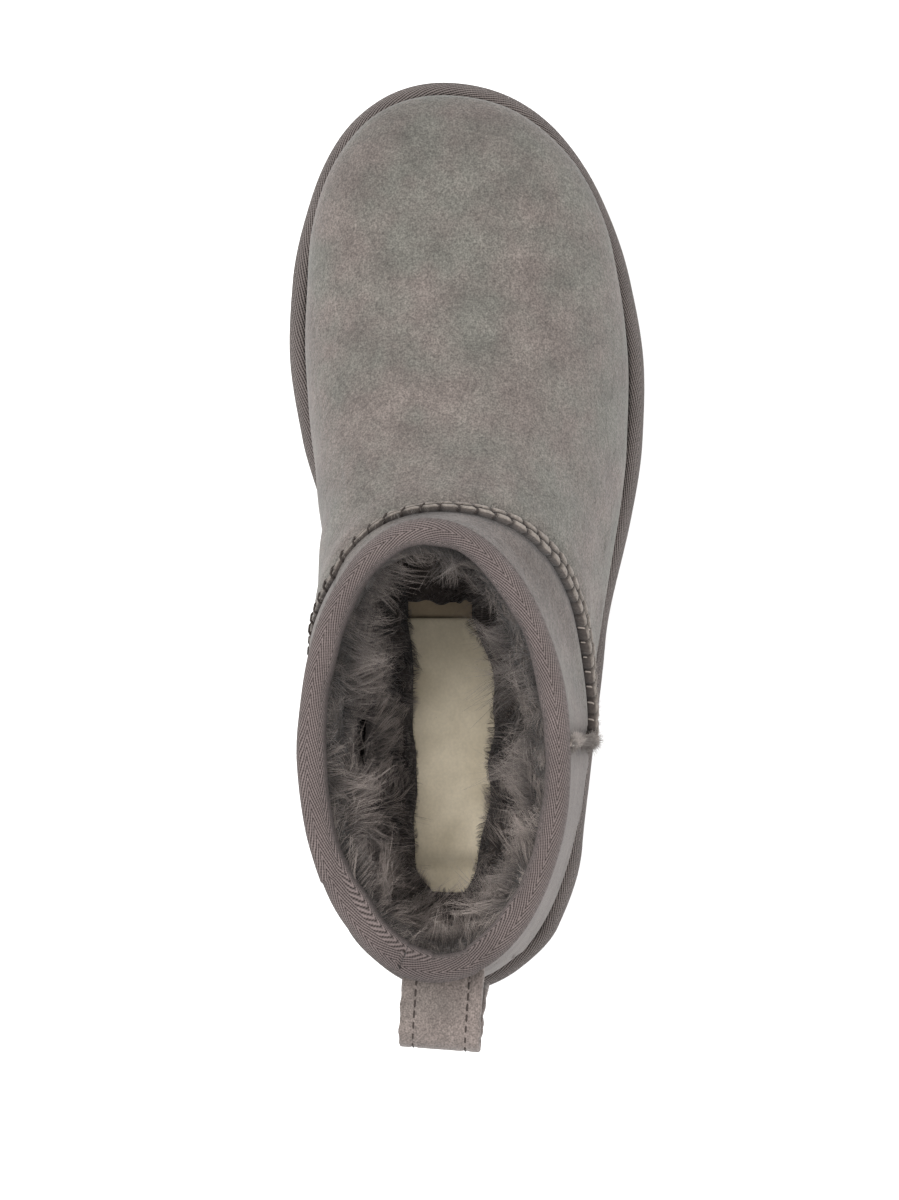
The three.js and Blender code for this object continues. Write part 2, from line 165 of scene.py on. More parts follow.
# The instep seam: its turn round the leg from straight ahead, inner side positive, its height there,
# and how thick the two edges are together and how far they stand up.
INSTEP_SEAM = Table(
    "turn z thick stand",
    (-86, 43.5, 3.4, 2.5),
    (-67, 49.5, 3.6, 2.5),
    (-52, 58.5, 3.7, 2.5),
    (-44, 65.5, 3.7, 2.4),
    (-38, 72.5, 3.6, 2.3),
    (-31.5, 80.5, 3.5, 2.2),
    (-25.5, 86.8, 3.4, 2.1),
    (-19, 91.3, 2.9, 1.9),
    (-10.5, 95.2, 2.4, 1.6),
    (0, 97.6, 2, 1.3),
    (10, 98.5, 1.8, 1.1),
    (21, 99.3, 1.6, 0.9),
    (28, 98.6, 1.5, 0.8),
    (35, 93.6, 1.5, 0.8),
    (46, 79.6, 1.5, 0.8),
    (58, 64.6, 1.5, 0.8),
    (72, 51.6, 1.5, 0.8),
    (93, 42, 1.6, 0.8),
)
SIDE_SEAM_TURNS = (-86.0, 93.0)
# The strip of footbed that the wool leaves bare.
STRIP_FRONT = 107.6
STRIP = Table(
    "x outer inner",
    (29, -3, 5.5),
    (37, -7, 9.5),
    (60, -10.5, 10),
    (84, -11.5, 10.8),
    (STRIP_FRONT, -5, 12.4),
)


def mix(a: Array, b: Array, t: Array) -> Array:
    """Returns: the value between a and b at the share t."""
    return a + (b - a) * t


def smooth(a: float, b: float, t: Array) -> Array:
    """Returns: 0 before a, 1 after b, with a soft passage between."""
    s = np.clip((t - a) / (b - a), 0, 1)
    return s * s * (3 - 2 * s)


def unit(v: Array) -> Array:
    """Returns: vectors of length one, along the last axis."""
    return v / np.maximum(np.linalg.norm(v, axis=-1, keepdims=True), 1e-9)


def lumps(points: Array, size: float, seed: float = 0.0) -> Array:
    """Soft noise between about -1 and 1.

    Args:
        points: places in millimetres, in the last axis.
        size: width of a lump in millimetres.
        seed: shifts the pattern.

    Returns: one value for each place.
    """
    flat = points.reshape(-1, 3) / size + seed
    return np.array([noise.noise(Vector(p)) for p in flat]).reshape(points.shape[:-1])


class Curve:
    """A smooth curve through a table's column, with no overshoot between its rows."""

    def __init__(self, at: Array, value: Array, closed_ends: bool = False) -> None:
        """Sets the curve up.

        Args:
            at: places of the rows.
            value: the column's values there.
            closed_ends: reads it along a half circle, for ends that close round.
        """
        self.first, self.length, self.closed_ends = at[0], at[-1] - at[0], closed_ends
        self.at, self.value = self._phase(at), value
        step = np.diff(value) / np.diff(self.at)
        before, after = step[:-1], step[1:]
        same = before * after > 0
        inner = np.where(same, 2 * before * after / np.where(same, before + after, 1), 0)
        self.slope = np.concatenate([step[:1], inner, step[-1:]])

    def _phase(self, x: Array) -> Array:
        """Places as the curve counts them.

        Args:
            x: places.

        Returns: the same, or angles of a half circle when the ends are closed.
        """
        if not self.closed_ends:
            return np.asarray(x, float)
        return np.arccos(1 - 2 * np.clip((x - self.first) / self.length, 0, 1))

    def __call__(self, x: Array) -> Array:
        """Reads the curve.

        Args:
            x: places.

        Returns: the curve's value at each.
        """
        p = np.clip(self._phase(x), self.at[0], self.at[-1])
        i = np.clip(np.searchsorted(self.at, p, side="right") - 1, 0, len(self.at) - 2)
        width = self.at[i + 1] - self.at[i]
        t = (p - self.at[i]) / width
        u = 1 - t
        ends = u * u * (1 + 2 * t) * self.value[i] + t * t * (3 - 2 * t) * self.value[i + 1]
        return ends + t * u * width * (u * self.slope[i] - t * self.slope[i + 1])


def crossing(rising: Callable[[Array], Array], low: Array, high: Array) -> Array:
    """Returns: where a rising function passes zero between low and high."""
    for _ in range(24):
        middle = (low + high) / 2
        below = rising(middle) < 0
        low, high = np.where(below, middle, low), np.where(below, high, middle)
    return (low + high) / 2


class Form:
    """The boot's shape as fields: negative inside, zero on the surface, near to millimetres."""

    def __init__(self) -> None:
        """Reads the tables as curves."""
        self.outline_half = Curve(OUTLINE.x, OUTLINE.half, True)
        self.outline_middle = Curve(OUTLINE.x, OUTLINE.middle, True)
        self.sole_top = Curve(SOLE_SIDE.x, SOLE_SIDE.top)
        self.ground = Curve(SOLE_SIDE.x, SOLE_SIDE.ground)
        self.foot_half = Curve(FOOT.x, FOOT.half, True)
        self.foot_middle = Curve(FOOT.x, FOOT.middle, True)
        self.foot_crest = Curve(FOOT.x, FOOT.crest, True)
        self.foot_arch = Curve(FOOT.x, FOOT.arch, True)
        self.leg_back = Curve(LEG.z, LEG.back)
        self.leg_front = Curve(LEG.z, LEG.front)
        self.leg_half = Curve(LEG.z, LEG.half)

    def _foot(self, x: Array, y: Array, z: Array) -> Array:
        """The foot part: a rounded section over the sole at each x.

        Args:
            x, y, z: places.

        Returns: a value that is negative inside.
        """
        half, arch = self.foot_half(x), np.maximum(self.foot_arch(x), 0.01)
        rise = np.maximum(z - self.sole_top(x) - WIDEST_ABOVE_SOLE, 0)
        middle = mix(self.foot_middle(x), self.foot_crest(x), np.clip(rise / arch, 0, 1))
        p = FOOT_ROUNDNESS
        across = np.abs(y - middle) ** p + (rise * half / arch) ** p
        return across ** (2 / p) - half * half

    def _leg(self, x: Array, y: Array, z: Array) -> Array:
        """The leg part: an oval at each height.

        Args:
            x, y, z: places.

        Returns: a value that is negative inside.
        """
        back, front, half = self.leg_back(z), self.leg_front(z), self.leg_half(z)
        along = (x - (back + front) / 2) / ((front - back) / 2)
        p = mix(LEG_ROUND_BACK, LEG_ROUND_FRONT, smooth(-1, 1, along))
        middle = mix(LEG_TURN_BACK, LEG_TURN_FRONT, np.clip((along + 1) / 2, 0, 1))
        size = np.abs(along) ** p + np.abs((y - middle) / half) ** p
        return (size ** (2 / p) - 1) * half * half

    def _plan(self, x: Array, y: Array, z: Array) -> Array:
        """Returns: a value that is negative inside the sole's outline."""
        return (y - self.outline_middle(x)) ** 2 - self.outline_half(x) ** 2

    @staticmethod
    def _distance(f: Field, x: Array, y: Array, z: Array) -> Array:
        """Turns a field's value into millimetres with its slope.

        Args:
            f: the field.
            x, y, z: places.

        Returns: the distance from its surface, negative inside.
        """
        h = 0.05
        slopes = (
            f(x + h, y, z) - f(x - h, y, z),
            f(x, y + h, z) - f(x, y - h, z),
            f(x, y, z + h) - f(x, y, z - h),
        )
        return f(x, y, z) * 2 * h / np.maximum(np.sqrt(sum(s * s for s in slopes)), 1e-6)

    def _foot_distance(self, x: Array, y: Array, z: Array) -> Array:
        """Distance from the foot part; past the toe, from its rounded tip.

        Args:
            x, y, z: places.

        Returns: the distance, negative inside.
        """
        rise = np.maximum(z - self.sole_top(x) - WIDEST_ABOVE_SOLE, 0)
        set_back = (y - FOOT.middle[-1]) ** 2 / TIP_ROUND_PLAN + rise**2 / TIP_ROUND_SIDE
        near = self._distance(self._foot, x, y, z)
        ahead = np.where(x >= FOOT.x[-1], x - FOOT.x[-1] + set_back / 2, near)
        return np.where(x <= FOOT.x[0], PAST_END + FOOT.x[0] - x, ahead)

    def plan_distance(self, x: Array, y: Array) -> Array:
        """Distance in plan from the sole's outline.

        Args:
            x, y: places.

        Returns: the distance, negative inside.
        """
        beyond = np.maximum(-x, x - SOLE_LENGTH)
        near = self._distance(self._plan, x, y, np.zeros_like(x))
        return np.where(beyond >= 0, PAST_END + beyond, near)

    def outline(self, x: Array, y: Array) -> Array:
        """A field that is zero exactly on the sole's outline.

        Args:
            x, y: places.

        Returns: its value, negative inside.
        """
        inside = np.abs(y - self.outline_middle(x)) - self.outline_half(x)
        beyond = np.maximum(-x, x - SOLE_LENGTH)
        return np.where(beyond >= 0, beyond + 1e-9, inside)

    def outside(self, x: Array, y: Array, z: Array) -> Array:
        """Distance from the upper's outer face.

        Args:
            x, y, z: places, of shapes that fit together.

        Returns: the distance, negative inside.
        """
        x, y, z = np.broadcast_arrays(*(np.asarray(v, float) for v in (x, y, z)))
        foot = self._foot_distance(x, y, z)
        leg = self._distance(self._leg, x, y, z)
        near = np.maximum(THROAT_BLEND - np.abs(foot - leg), 0)
        joined = np.minimum(foot, leg) - near * near / (4 * THROAT_BLEND)
        drawn = 1 - smooth(*DRAWN_IN, z - self.sole_top(x))
        return mix(joined, self.plan_distance(x, y) + BINDING_WIDTH, drawn)

    def collar(self, x: Array) -> Array:
        """Height of the topline.

        Args:
            x: places along the boot.

        Returns: the heights.
        """
        back, front = self.leg_back(COLLAR_BACK), self.leg_front(COLLAR_FRONT)
        s = np.clip((x - back) / (front - back), 0, 1)
        return mix(COLLAR_BACK, COLLAR_FRONT, s) - COLLAR_DIP * 4 * s * (1 - s)

    def wall(self, x: Array, z: Array) -> Array:
        """Returns: thickness of skin and wool together."""
        return mix(RIM, WALL, smooth(RIM_DEPTH, FULL_WALL_DEPTH, self.collar(x) - z))

    def normal(self, p: Array) -> Array:
        """The outward direction of the upper's face.

        Args:
            p: points, one a row.

        Returns: directions of length one.
        """
        h, axes = 0.2, np.eye(3)
        parts = [self.outside(*(p + h * a).T) - self.outside(*(p - h * a).T) for a in axes]
        return unit(np.stack(parts, -1))

    def on_leg(self, turn: Array, z: Array, lift: float = 0.0) -> Array:
        """Points of the outer face round the leg.

        Args:
            turn: degrees from straight ahead, inner side positive.
            z: heights.
            lift: distance outside the face.

        Returns: an array of points.
        """
        a = np.radians(np.asarray(turn, float))
        z = np.asarray(z, float) + 0 * a
        place = lambda t: (LEG_CENTRE + t * np.cos(a), t * np.sin(a), z)
        t = crossing(lambda s: self.outside(*place(s)) - lift, 0 * a, 0 * a + 150)
        return np.stack(place(t), -1)


FORM = Form()


@dataclass(frozen=True)
class Steps:
    """How many steps a ring has round a quarter of the heel, along one side and round half the toe."""

    heel: int
    side: int
    toe: int


class Level:
    """One ring's place between the sole (0) and the topline (1)."""

    def __init__(self, v: float) -> None:
        """Finds where the ring's two ends are.

        Args:
            v: its place, 0 on the sole and 1 at the topline.
        """
        self.v = v
        z_front = float(Curve(LEVELS.level, LEVELS.front)(v))
        z_back = mix(float(FORM.sole_top(0.0)), COLLAR_BACK, v)
        tip = crossing(lambda x: FORM.outside(x, TIP_SIDE, z_front), np.array(80.0), np.array(262.0))
        self.x_front, self.x_back = float(tip), float(FORM.leg_back(z_back))
        self.z_front, self.z_back = z_front, z_back
        self.toe_centre = self.x_front - float(Curve(LEVELS.level, LEVELS.radius)(v))

    def height(self, x: Array) -> Array:
        """The ring's height.

        Args:
            x: places along the boot.

        Returns: the heights over them.
        """
        s = np.clip((x - self.x_back) / (self.x_front - self.x_back), 0, 1)
        ends = mix(float(FORM.sole_top(0.0)), float(FORM.sole_top(self.x_front)), s)
        line = mix(self.z_back, self.z_front, s) - COLLAR_DIP * 4 * s * (1 - s) * self.v**2
        return line + (FORM.sole_top(x) - ends) * (1 - self.v) ** 2

    def ring(self, steps: Steps, height: Callable[[Array], Array], f: Field) -> Array:
        """Points where a field passes zero, on rays from inside the foot, starting at the heel.

        Args:
            steps: how finely to go round.
            height: height over x.
            f: the field.

        Returns: an array of points, one for each ray.
        """
        heel, side = np.arange(steps.heel) / steps.heel, np.arange(steps.side) / steps.side
        toe = np.arange(steps.toe) / steps.toe
        right = math.pi / 2
        angle = [right * heel, right + 0 * side, right + math.pi * toe, 3 * right + 0 * side]
        angle = np.concatenate([*angle, right * (3 + heel)])
        start, end = HEEL_CENTRE, self.toe_centre
        x = [start + 0 * heel, mix(start, end, side), end + 0 * toe, mix(end, start, side)]
        x = np.concatenate([*x, start + 0 * heel])
        y = mix(FORM.foot_middle(x), LEG_TURN_FRONT, self.v)
        place = lambda t: (x - np.cos(angle) * t, y + np.sin(angle) * t)
        value = lambda t: f(*place(t), height(place(t)[0]))
        px, py = place(crossing(value, 0 * x, 0 * x + 90))
        return np.stack([px, py, height(px)], -1)

    def offset(self, steps: Steps, height: Callable[[Array], Array], distance: float) -> Array:
        """Returns: the ring at a distance outside the upper's face."""
        return self.ring(steps, height, lambda x, y, z: FORM.outside(x, y, z) - distance)


# ------------------------------------------------------------------ node graphs


@dataclass(frozen=True)
class Wire:
    """One output socket of a node graph, with arithmetic."""

    graph: "Graph"
    socket: bpy.types.NodeSocket

    def _math(self, operation: str, a: object, b: object) -> "Wire":
        """Adds a math node, or a vector math node where a vector or a colour comes in.

        Args:
            operation: the node's operation.
            a: a wire or a number.
            b: a wire or a number.

        Returns: the node's output.
        """
        wires = [w for w in (a, b) if isinstance(w, Wire)]
        vector = any(w.socket.type in {"VECTOR", "RGBA"} for w in wires)
        kind = "ShaderNodeVectorMath" if vector else "ShaderNodeMath"
        return self.graph.add(kind, {"operation": operation}, {0: a, 1: b})

    def __add__(self, other: object) -> "Wire":
        """Returns: wire + other."""
        return self._math("ADD", self, other)

    def __radd__(self, other: object) -> "Wire":
        """Returns: other + wire."""
        return self._math("ADD", other, self)

    def __sub__(self, other: object) -> "Wire":
        """Returns: wire - other."""
        return self._math("SUBTRACT", self, other)

    def __rsub__(self, other: object) -> "Wire":
        """Returns: other - wire."""
        return self._math("SUBTRACT", other, self)

    def __mul__(self, other: object) -> "Wire":
        """Returns: wire * other."""
        return self._math("MULTIPLY", self, other)

    def __rmul__(self, other: object) -> "Wire":
        """Returns: other * wire."""
        return self._math("MULTIPLY", other, self)

    def __truediv__(self, other: object) -> "Wire":
        """Returns: wire / other."""
        return self._math("DIVIDE", self, other)

    def __rtruediv__(self, other: object) -> "Wire":
        """Returns: other / wire."""
        return self._math("DIVIDE", other, self)

    def __pow__(self, other: object) -> "Wire":
        """Returns: wire to the power other."""
        return self._math("POWER", self, other)

    def call(self, operation: str, other: object = 0.0) -> "Wire":
        """Returns: the result of any other operation of the math node."""
        return self._math(operation, self, other)


class Graph:
    """A shader or geometry node tree under construction."""

    def __init__(self, tree: bpy.types.NodeTree) -> None:
        """Empties the tree that is to be built."""
        self.tree = tree
        tree.nodes.clear()

    def add(
        self, kind: str, settings: dict | None = None, inputs: dict | None = None, out: int | str = 0
    ) -> Wire:
        """Adds a node.

        Args:
            kind: the node's type.
            settings: its properties.
            inputs: values or wires, by the name or number of the input.
            out: name or number of the output wanted.

        Returns: that output.
        """
        node = self.tree.nodes.new(kind)
        for key, value in (settings or {}).items():
            setattr(node, key, value)
        for key, value in (inputs or {}).items():
            socket = node.inputs[key]
            if isinstance(value, Wire):
                self.tree.links.new(value.socket, socket)
            elif socket.type == "VECTOR" and isinstance(value, (int, float)):
                socket.default_value = (value,) * 3
            elif socket.type == "RGBA":
                socket.default_value = (*value, 1.0)
            else:
                socket.default_value = value
        return Wire(self, node.outputs[out]) if len(node.outputs) else Wire(self, None)

    def noise(self, at: Wire, size: float, detail: float = 2.0, out: str = "Fac") -> Wire:
        """Returns: noise whose lumps are `size` millimetres wide."""
        inputs = {"Vector": at, "Scale": 1 / (size * MM), "Detail": detail}
        return self.add("ShaderNodeTexNoise", None, inputs, out)

    def blend(self, share: Wire | float, a: object, b: object) -> Wire:
        """Returns: a colour between a and b."""
        settings = {"data_type": "RGBA"}
        return self.add("ShaderNodeMix", settings, {0: share, 6: a, 7: b}, 2)

    def stretch(self, value: Wire, low: float, high: float, to: tuple[float, float] = (0, 1)) -> Wire:
        """Returns: value mapped from low..high to the range `to`, clamped."""
        return self.add("ShaderNodeMapRange", None, {0: value, 1: low, 2: high, 3: to[0], 4: to[1]})


Colour = tuple[float, float, float]


def srgb(red: int, green: int, blue: int) -> Colour:
    """Returns: linear colour of a display colour given as 0 to 255."""
    return tuple(((c / 255 + 0.055) / 1.055) ** 2.4 for c in (red, green, blue))


@dataclass(frozen=True)
class Finish:
    """The constants of one surface."""

    roughness: float = 0.95
    sheen: float = 0.0
    specular: float = 0.15


class Looks:
    """The boot's materials."""

    def __init__(self) -> None:
        """Makes every material once."""
        self.suede = self._suede("suede", srgb(90, 83, 79), srgb(84, 82, 77))
        self.loop = self._suede("suede_loop", srgb(98, 89, 85), srgb(91, 84, 80))
        self.edge = self._cut_edge()
        self.collar = self._twill("twill_collar", srgb(101, 91, 89), srgb(38, 33, 31))
        self.sole_edge = self._twill("twill_sole", srgb(106, 98, 95), srgb(27, 24, 22))
        self.wool_skin = self._wool_skin()
        self.wool = self._wool("wool_strand", srgb(38, 33, 31), srgb(150, 139, 132))
        self.fuzz = self._wool("suede_fuzz", srgb(104, 97, 92), srgb(150, 142, 136))
        self.thread = self._plain("thread", srgb(136, 127, 120), 0.7)
        self.dark_thread = self._plain("thread_dark", srgb(50, 44, 41), 0.8)
        self.footbed = self._footbed("footbed_cover", srgb(230, 217, 192), srgb(203, 190, 165))
        self.footbed_base = self._footbed("footbed_base", srgb(176, 158, 132), srgb(160, 142, 119))
        self.foam = self._foam()
        self.floor = self._plain("floor", (0.93, 0.93, 0.93), 0.9)

    @staticmethod
    def _start(name: str) -> tuple[Graph, bpy.types.Material]:
        """Starts a material.

        Args:
            name: its name.

        Returns: its graph, and the material.
        """
        material = bpy.data.materials.new(name)
        material.use_nodes = True
        return Graph(material.node_tree), material

    @staticmethod
    def _end(
        g: Graph, colour: object, finish: Finish, height: Wire | None = None, depth: float = 0.0
    ) -> None:
        """Closes a material with a surface shader and its output.

        Args:
            g: the graph.
            colour: colour or wire.
            finish: roughness, sheen and gloss.
            height: the relief, where it has one.
            depth: the relief's depth in millimetres.
        """
        inputs = {
            "Base Color": colour,
            "Roughness": finish.roughness,
            "Sheen Weight": finish.sheen,
            "Sheen Roughness": 0.6,
            "Specular IOR Level": finish.specular,
        }
        if height is not None:
            bump = {"Strength": 1.0, "Distance": depth * MM, "Height": height}
            inputs["Normal"] = g.add("ShaderNodeBump", None, bump)
        surface = g.add("ShaderNodeBsdfPrincipled", None, inputs)
        g.add("ShaderNodeOutputMaterial", None, {"Surface": surface})

    @staticmethod
    def _place(g: Graph) -> Wire:
        """Returns: coordinates of the object, in metres."""
        return g.add("ShaderNodeTexCoord", None, None, "Object")

    def _suede(self, name: str, warm: Colour, cool: Colour) -> bpy.types.Material:
        """Brushed suede: clouds and a short nap, with painted shadow along the seams and painted shade
        towards the toe.

        Args:
            name: the material's name.
            warm: colour of the warmer patches.
            cool: colour of the cooler patches.

        Returns: the material.
        """
        g, material = self._start(name)
        at = self._place(g)
        leg = g.add("ShaderNodeAttribute", {"attribute_name": "leg"}, None, "Fac")
        seam_shade = g.add("ShaderNodeAttribute", {"attribute_name": "seam_shade"}, None, "Fac")
        patch = g.stretch(g.noise(at, 24, 3) + g.noise(at, 8, 2) * 0.4, 0.56, 0.84)
        clouds_and_toe_shade = g.stretch(g.noise(at, 11, 4), 0.3, 0.7, (0.84, 1.16))
        clouds_and_toe_shade = clouds_and_toe_shade * g.stretch(g.noise(at, 4, 2), 0.3, 0.7, (0.93, 1.07))
        nap = g.stretch(g.noise(at, 1.1, 3), 0.3, 0.7, (0.82, 1.18))
        speck = g.stretch(g.noise(at, 0.5, 2), 0.25, 0.75, (0.52, 1.48))
        x = g.add("ShaderNodeSeparateXYZ", None, {0: at}, 0)
        # painted shade: the suede darkens towards the toe
        clouds_and_toe_shade = clouds_and_toe_shade * g.stretch(x, 0.09, 0.13, (1.0, 0.84))
        skin = g.blend(patch, warm, cool)
        skin = g.blend(leg * 0.85, skin, srgb(78, 71, 68))
        # painted shadow: darkens the suede along the foot of the seams' raised edges
        skin = g.blend(seam_shade, skin, srgb(40, 35, 33))
        height = g.noise(at, 0.6, 3) + 2.0 * g.noise(at, 2.6, 2)
        self._end(g, skin * (clouds_and_toe_shade * nap * speck), Finish(0.97, 0.14, 0.06), height, 0.22)
        return material

    def _cut_edge(self) -> bpy.types.Material:
        """The seams' cut edges: pale on the crest, where the raw edge shows, with painted shade on the
        flanks, in the stitch notches, in the slot between the edges and at their foot.

        Returns: the material.
        """
        g, material = self._start("suede_cut_edge")
        at = self._place(g)
        cut_edge_shade = g.add("ShaderNodeAttribute", {"attribute_name": "seam_shade"}, None, "Fac")
        fine = g.stretch(g.noise(at, 0.7, 3), 0.3, 0.7, (0.8, 1.2))
        broad = g.stretch(g.noise(at, 6, 2), 0.3, 0.7, (0.88, 1.12))
        crest = g.add("ShaderNodeAttribute", {"attribute_name": "crest"}, None, "Fac")
        # the flanks' darker colour is painted shade; the pale crest is the raw edge's own colour
        edge = g.blend(crest, srgb(78, 71, 67), srgb(111, 104, 98))
        # painted shade in the stitch notches, the slot between the edges and the flange's foot
        edge = g.blend(cut_edge_shade, edge, srgb(28, 24, 22))
        self._end(g, edge * (fine * broad), Finish(0.97, 0.14, 0.06), g.noise(at, 0.8, 3), 0.4)
        return material

    def _twill(self, name: str, yarn: Colour, gap: Colour) -> bpy.types.Material:
        """Herringbone tape, on UVs in millimetres, with painted shade towards the heel.

        Args:
            name: the material's name.
            yarn: colour of the ribs.
            gap: colour between them.

        Returns: the material.
        """
        g, material = self._start(name)
        at = self._place(g)
        uv = g.add("ShaderNodeTexCoord", None, None, "UV")
        u = g.add("ShaderNodeSeparateXYZ", None, {0: uv}, 0)
        v = g.add("ShaderNodeSeparateXYZ", None, {0: uv}, 1)
        wobble = (g.noise(at, 4, 2) - 0.5) * 0.9
        chevron = ((v / 7.6).call("FRACT") - 0.5).call("ABSOLUTE") * 7.6
        rib = ((chevron * 1.5 + u / RIB_REPEAT + wobble) * (2 * math.pi)).call("SINE") * 0.5 + 0.5
        ply = ((u * (3 / RIB_REPEAT) - chevron * 0.5 + wobble) * (2 * math.pi)).call("SINE") * 0.5 + 0.5
        fine = g.stretch(g.noise(at, 0.5, 2), 0.3, 0.7, (0.84, 1.16))
        tone = g.stretch(g.noise(at, 15, 2), 0.3, 0.7, (0.9, 1.1))
        share = g.stretch(rib * 0.75 + ply * 0.25, 0.05, 0.75)
        x = g.add("ShaderNodeSeparateXYZ", None, {0: at}, 0)
        # painted shade: the tape darkens towards the heel
        woven = g.blend(share, gap, yarn) * (fine * tone * g.stretch(x, -0.116, -0.098, (0.8, 1.0)))
        self._end(g, woven, Finish(0.95, 0.06, 0.08), rib + ply * 0.4, 0.22)
        return material

    def _wool_skin(self) -> bpy.types.Material:
        """The dark skin under the strands.

        Returns: the material.
        """
        g, material = self._start("wool_base")
        at = self._place(g)
        share = g.stretch(g.noise(at, 8, 3), 0.35, 0.7)
        colour = g.blend(share, srgb(36, 32, 30), srgb(76, 69, 65))
        self._end(g, colour, Finish(1.0, 0.1, 0.03), g.noise(at, 1.6, 4), 1.2)
        return material

    def _wool(self, name: str, root: Colour, tip: Colour) -> bpy.types.Material:
        """Strands that get lighter towards the tip, with painted light towards the heel and painted shade
        towards the front.

        Args:
            name: the material's name.
            root: colour at the root.
            tip: colour at the tip.

        Returns: the material.
        """
        g, material = self._start(name)
        along = g.add("ShaderNodeAttribute", {"attribute_name": "along"}, None, "Fac")
        tone = g.add("ShaderNodeAttribute", {"attribute_name": "tone"}, None, "Fac")
        light = g.stretch(tone, 0.0, 1.0, (0.33, 1.46))
        x = g.add("ShaderNodeSeparateXYZ", None, {0: self._place(g)}, 0)
        # painted light and shade: lighter towards the heel, darker towards the front under the instep
        light = light * g.stretch(x, -0.105, -0.015, (1.65, 0.82))
        self._end(g, g.blend(along ** 1.5, root, tip) * light, Finish(0.85, 0.15, 0.12))
        return material

    def _footbed(self, name: str, pale: Colour, worn: Colour) -> bpy.types.Material:
        """Footbed cloth with soft blotches, with painted shadow towards the front, in a band across its
        crease and along its edges.

        Args:
            name: the material's name.
            pale: the clean colour.
            worn: the used colour.

        Returns: the material.
        """
        g, material = self._start(name)
        at = self._place(g)
        share = g.stretch(g.noise(at, 16, 3), 0.35, 0.65)
        fine = g.stretch(g.noise(at, 0.8, 2), 0.3, 0.7, (0.95, 1.05))
        x = g.add("ShaderNodeSeparateXYZ", None, {0: at}, 0)
        y = g.add("ShaderNodeSeparateXYZ", None, {0: at}, 1)
        # painted shadow: darker towards the front, under the instep
        fine = fine * g.stretch(x, -0.06, -0.015, (1.0, 0.7))
        # painted shade in a narrow band across the crease
        fine = fine * g.stretch((x + 0.0865).call("ABSOLUTE"), 0.0, 0.004, (0.78, 1.0))
        # painted shade along the side edges, by the wool
        fine = fine * g.stretch((y - 0.0032).call("ABSOLUTE"), 0.006, 0.013, (1.0, 0.8))
        speck = g.stretch(g.noise(at, 1.3, 1), 0.79, 0.83, (1.0, 0.45))
        colour = g.blend(share, pale, worn) * (fine * speck)
        self._end(g, colour, Finish(0.8, 0.0, 0.2), g.noise(at, 3, 3), 0.15)
        return material

    def _foam(self) -> bpy.types.Material:
        """The sole's matte foam.

        Returns: the material.
        """
        g, material = self._start("sole_foam")
        at = self._place(g)
        tone = g.stretch(g.noise(at, 6, 4), 0.3, 0.7, (0.85, 1.15))
        colour = g.blend(0.5, srgb(88, 82, 79), srgb(96, 90, 86)) * tone
        self._end(g, colour, Finish(0.8, 0.0, 0.3), g.noise(at, 0.7, 2), 0.08)
        return material

    def _plain(self, name: str, colour: Colour, roughness: float) -> bpy.types.Material:
        """One plain colour.

        Args:
            name: the material's name.
            colour: its colour.
            roughness: its roughness.

        Returns: the material.
        """
        g, material = self._start(name)
        self._end(g, colour, Finish(roughness, 0.0, 0.2))
        return material


# ------------------------------------------------------------------ meshes


class Slot(Enum):
    """Material slots of the record."""

    SOLE = "sole_foam"
    TAPE = "woven_tape"
    SUEDE = "suede"
    INSOLE = "insole_cover"


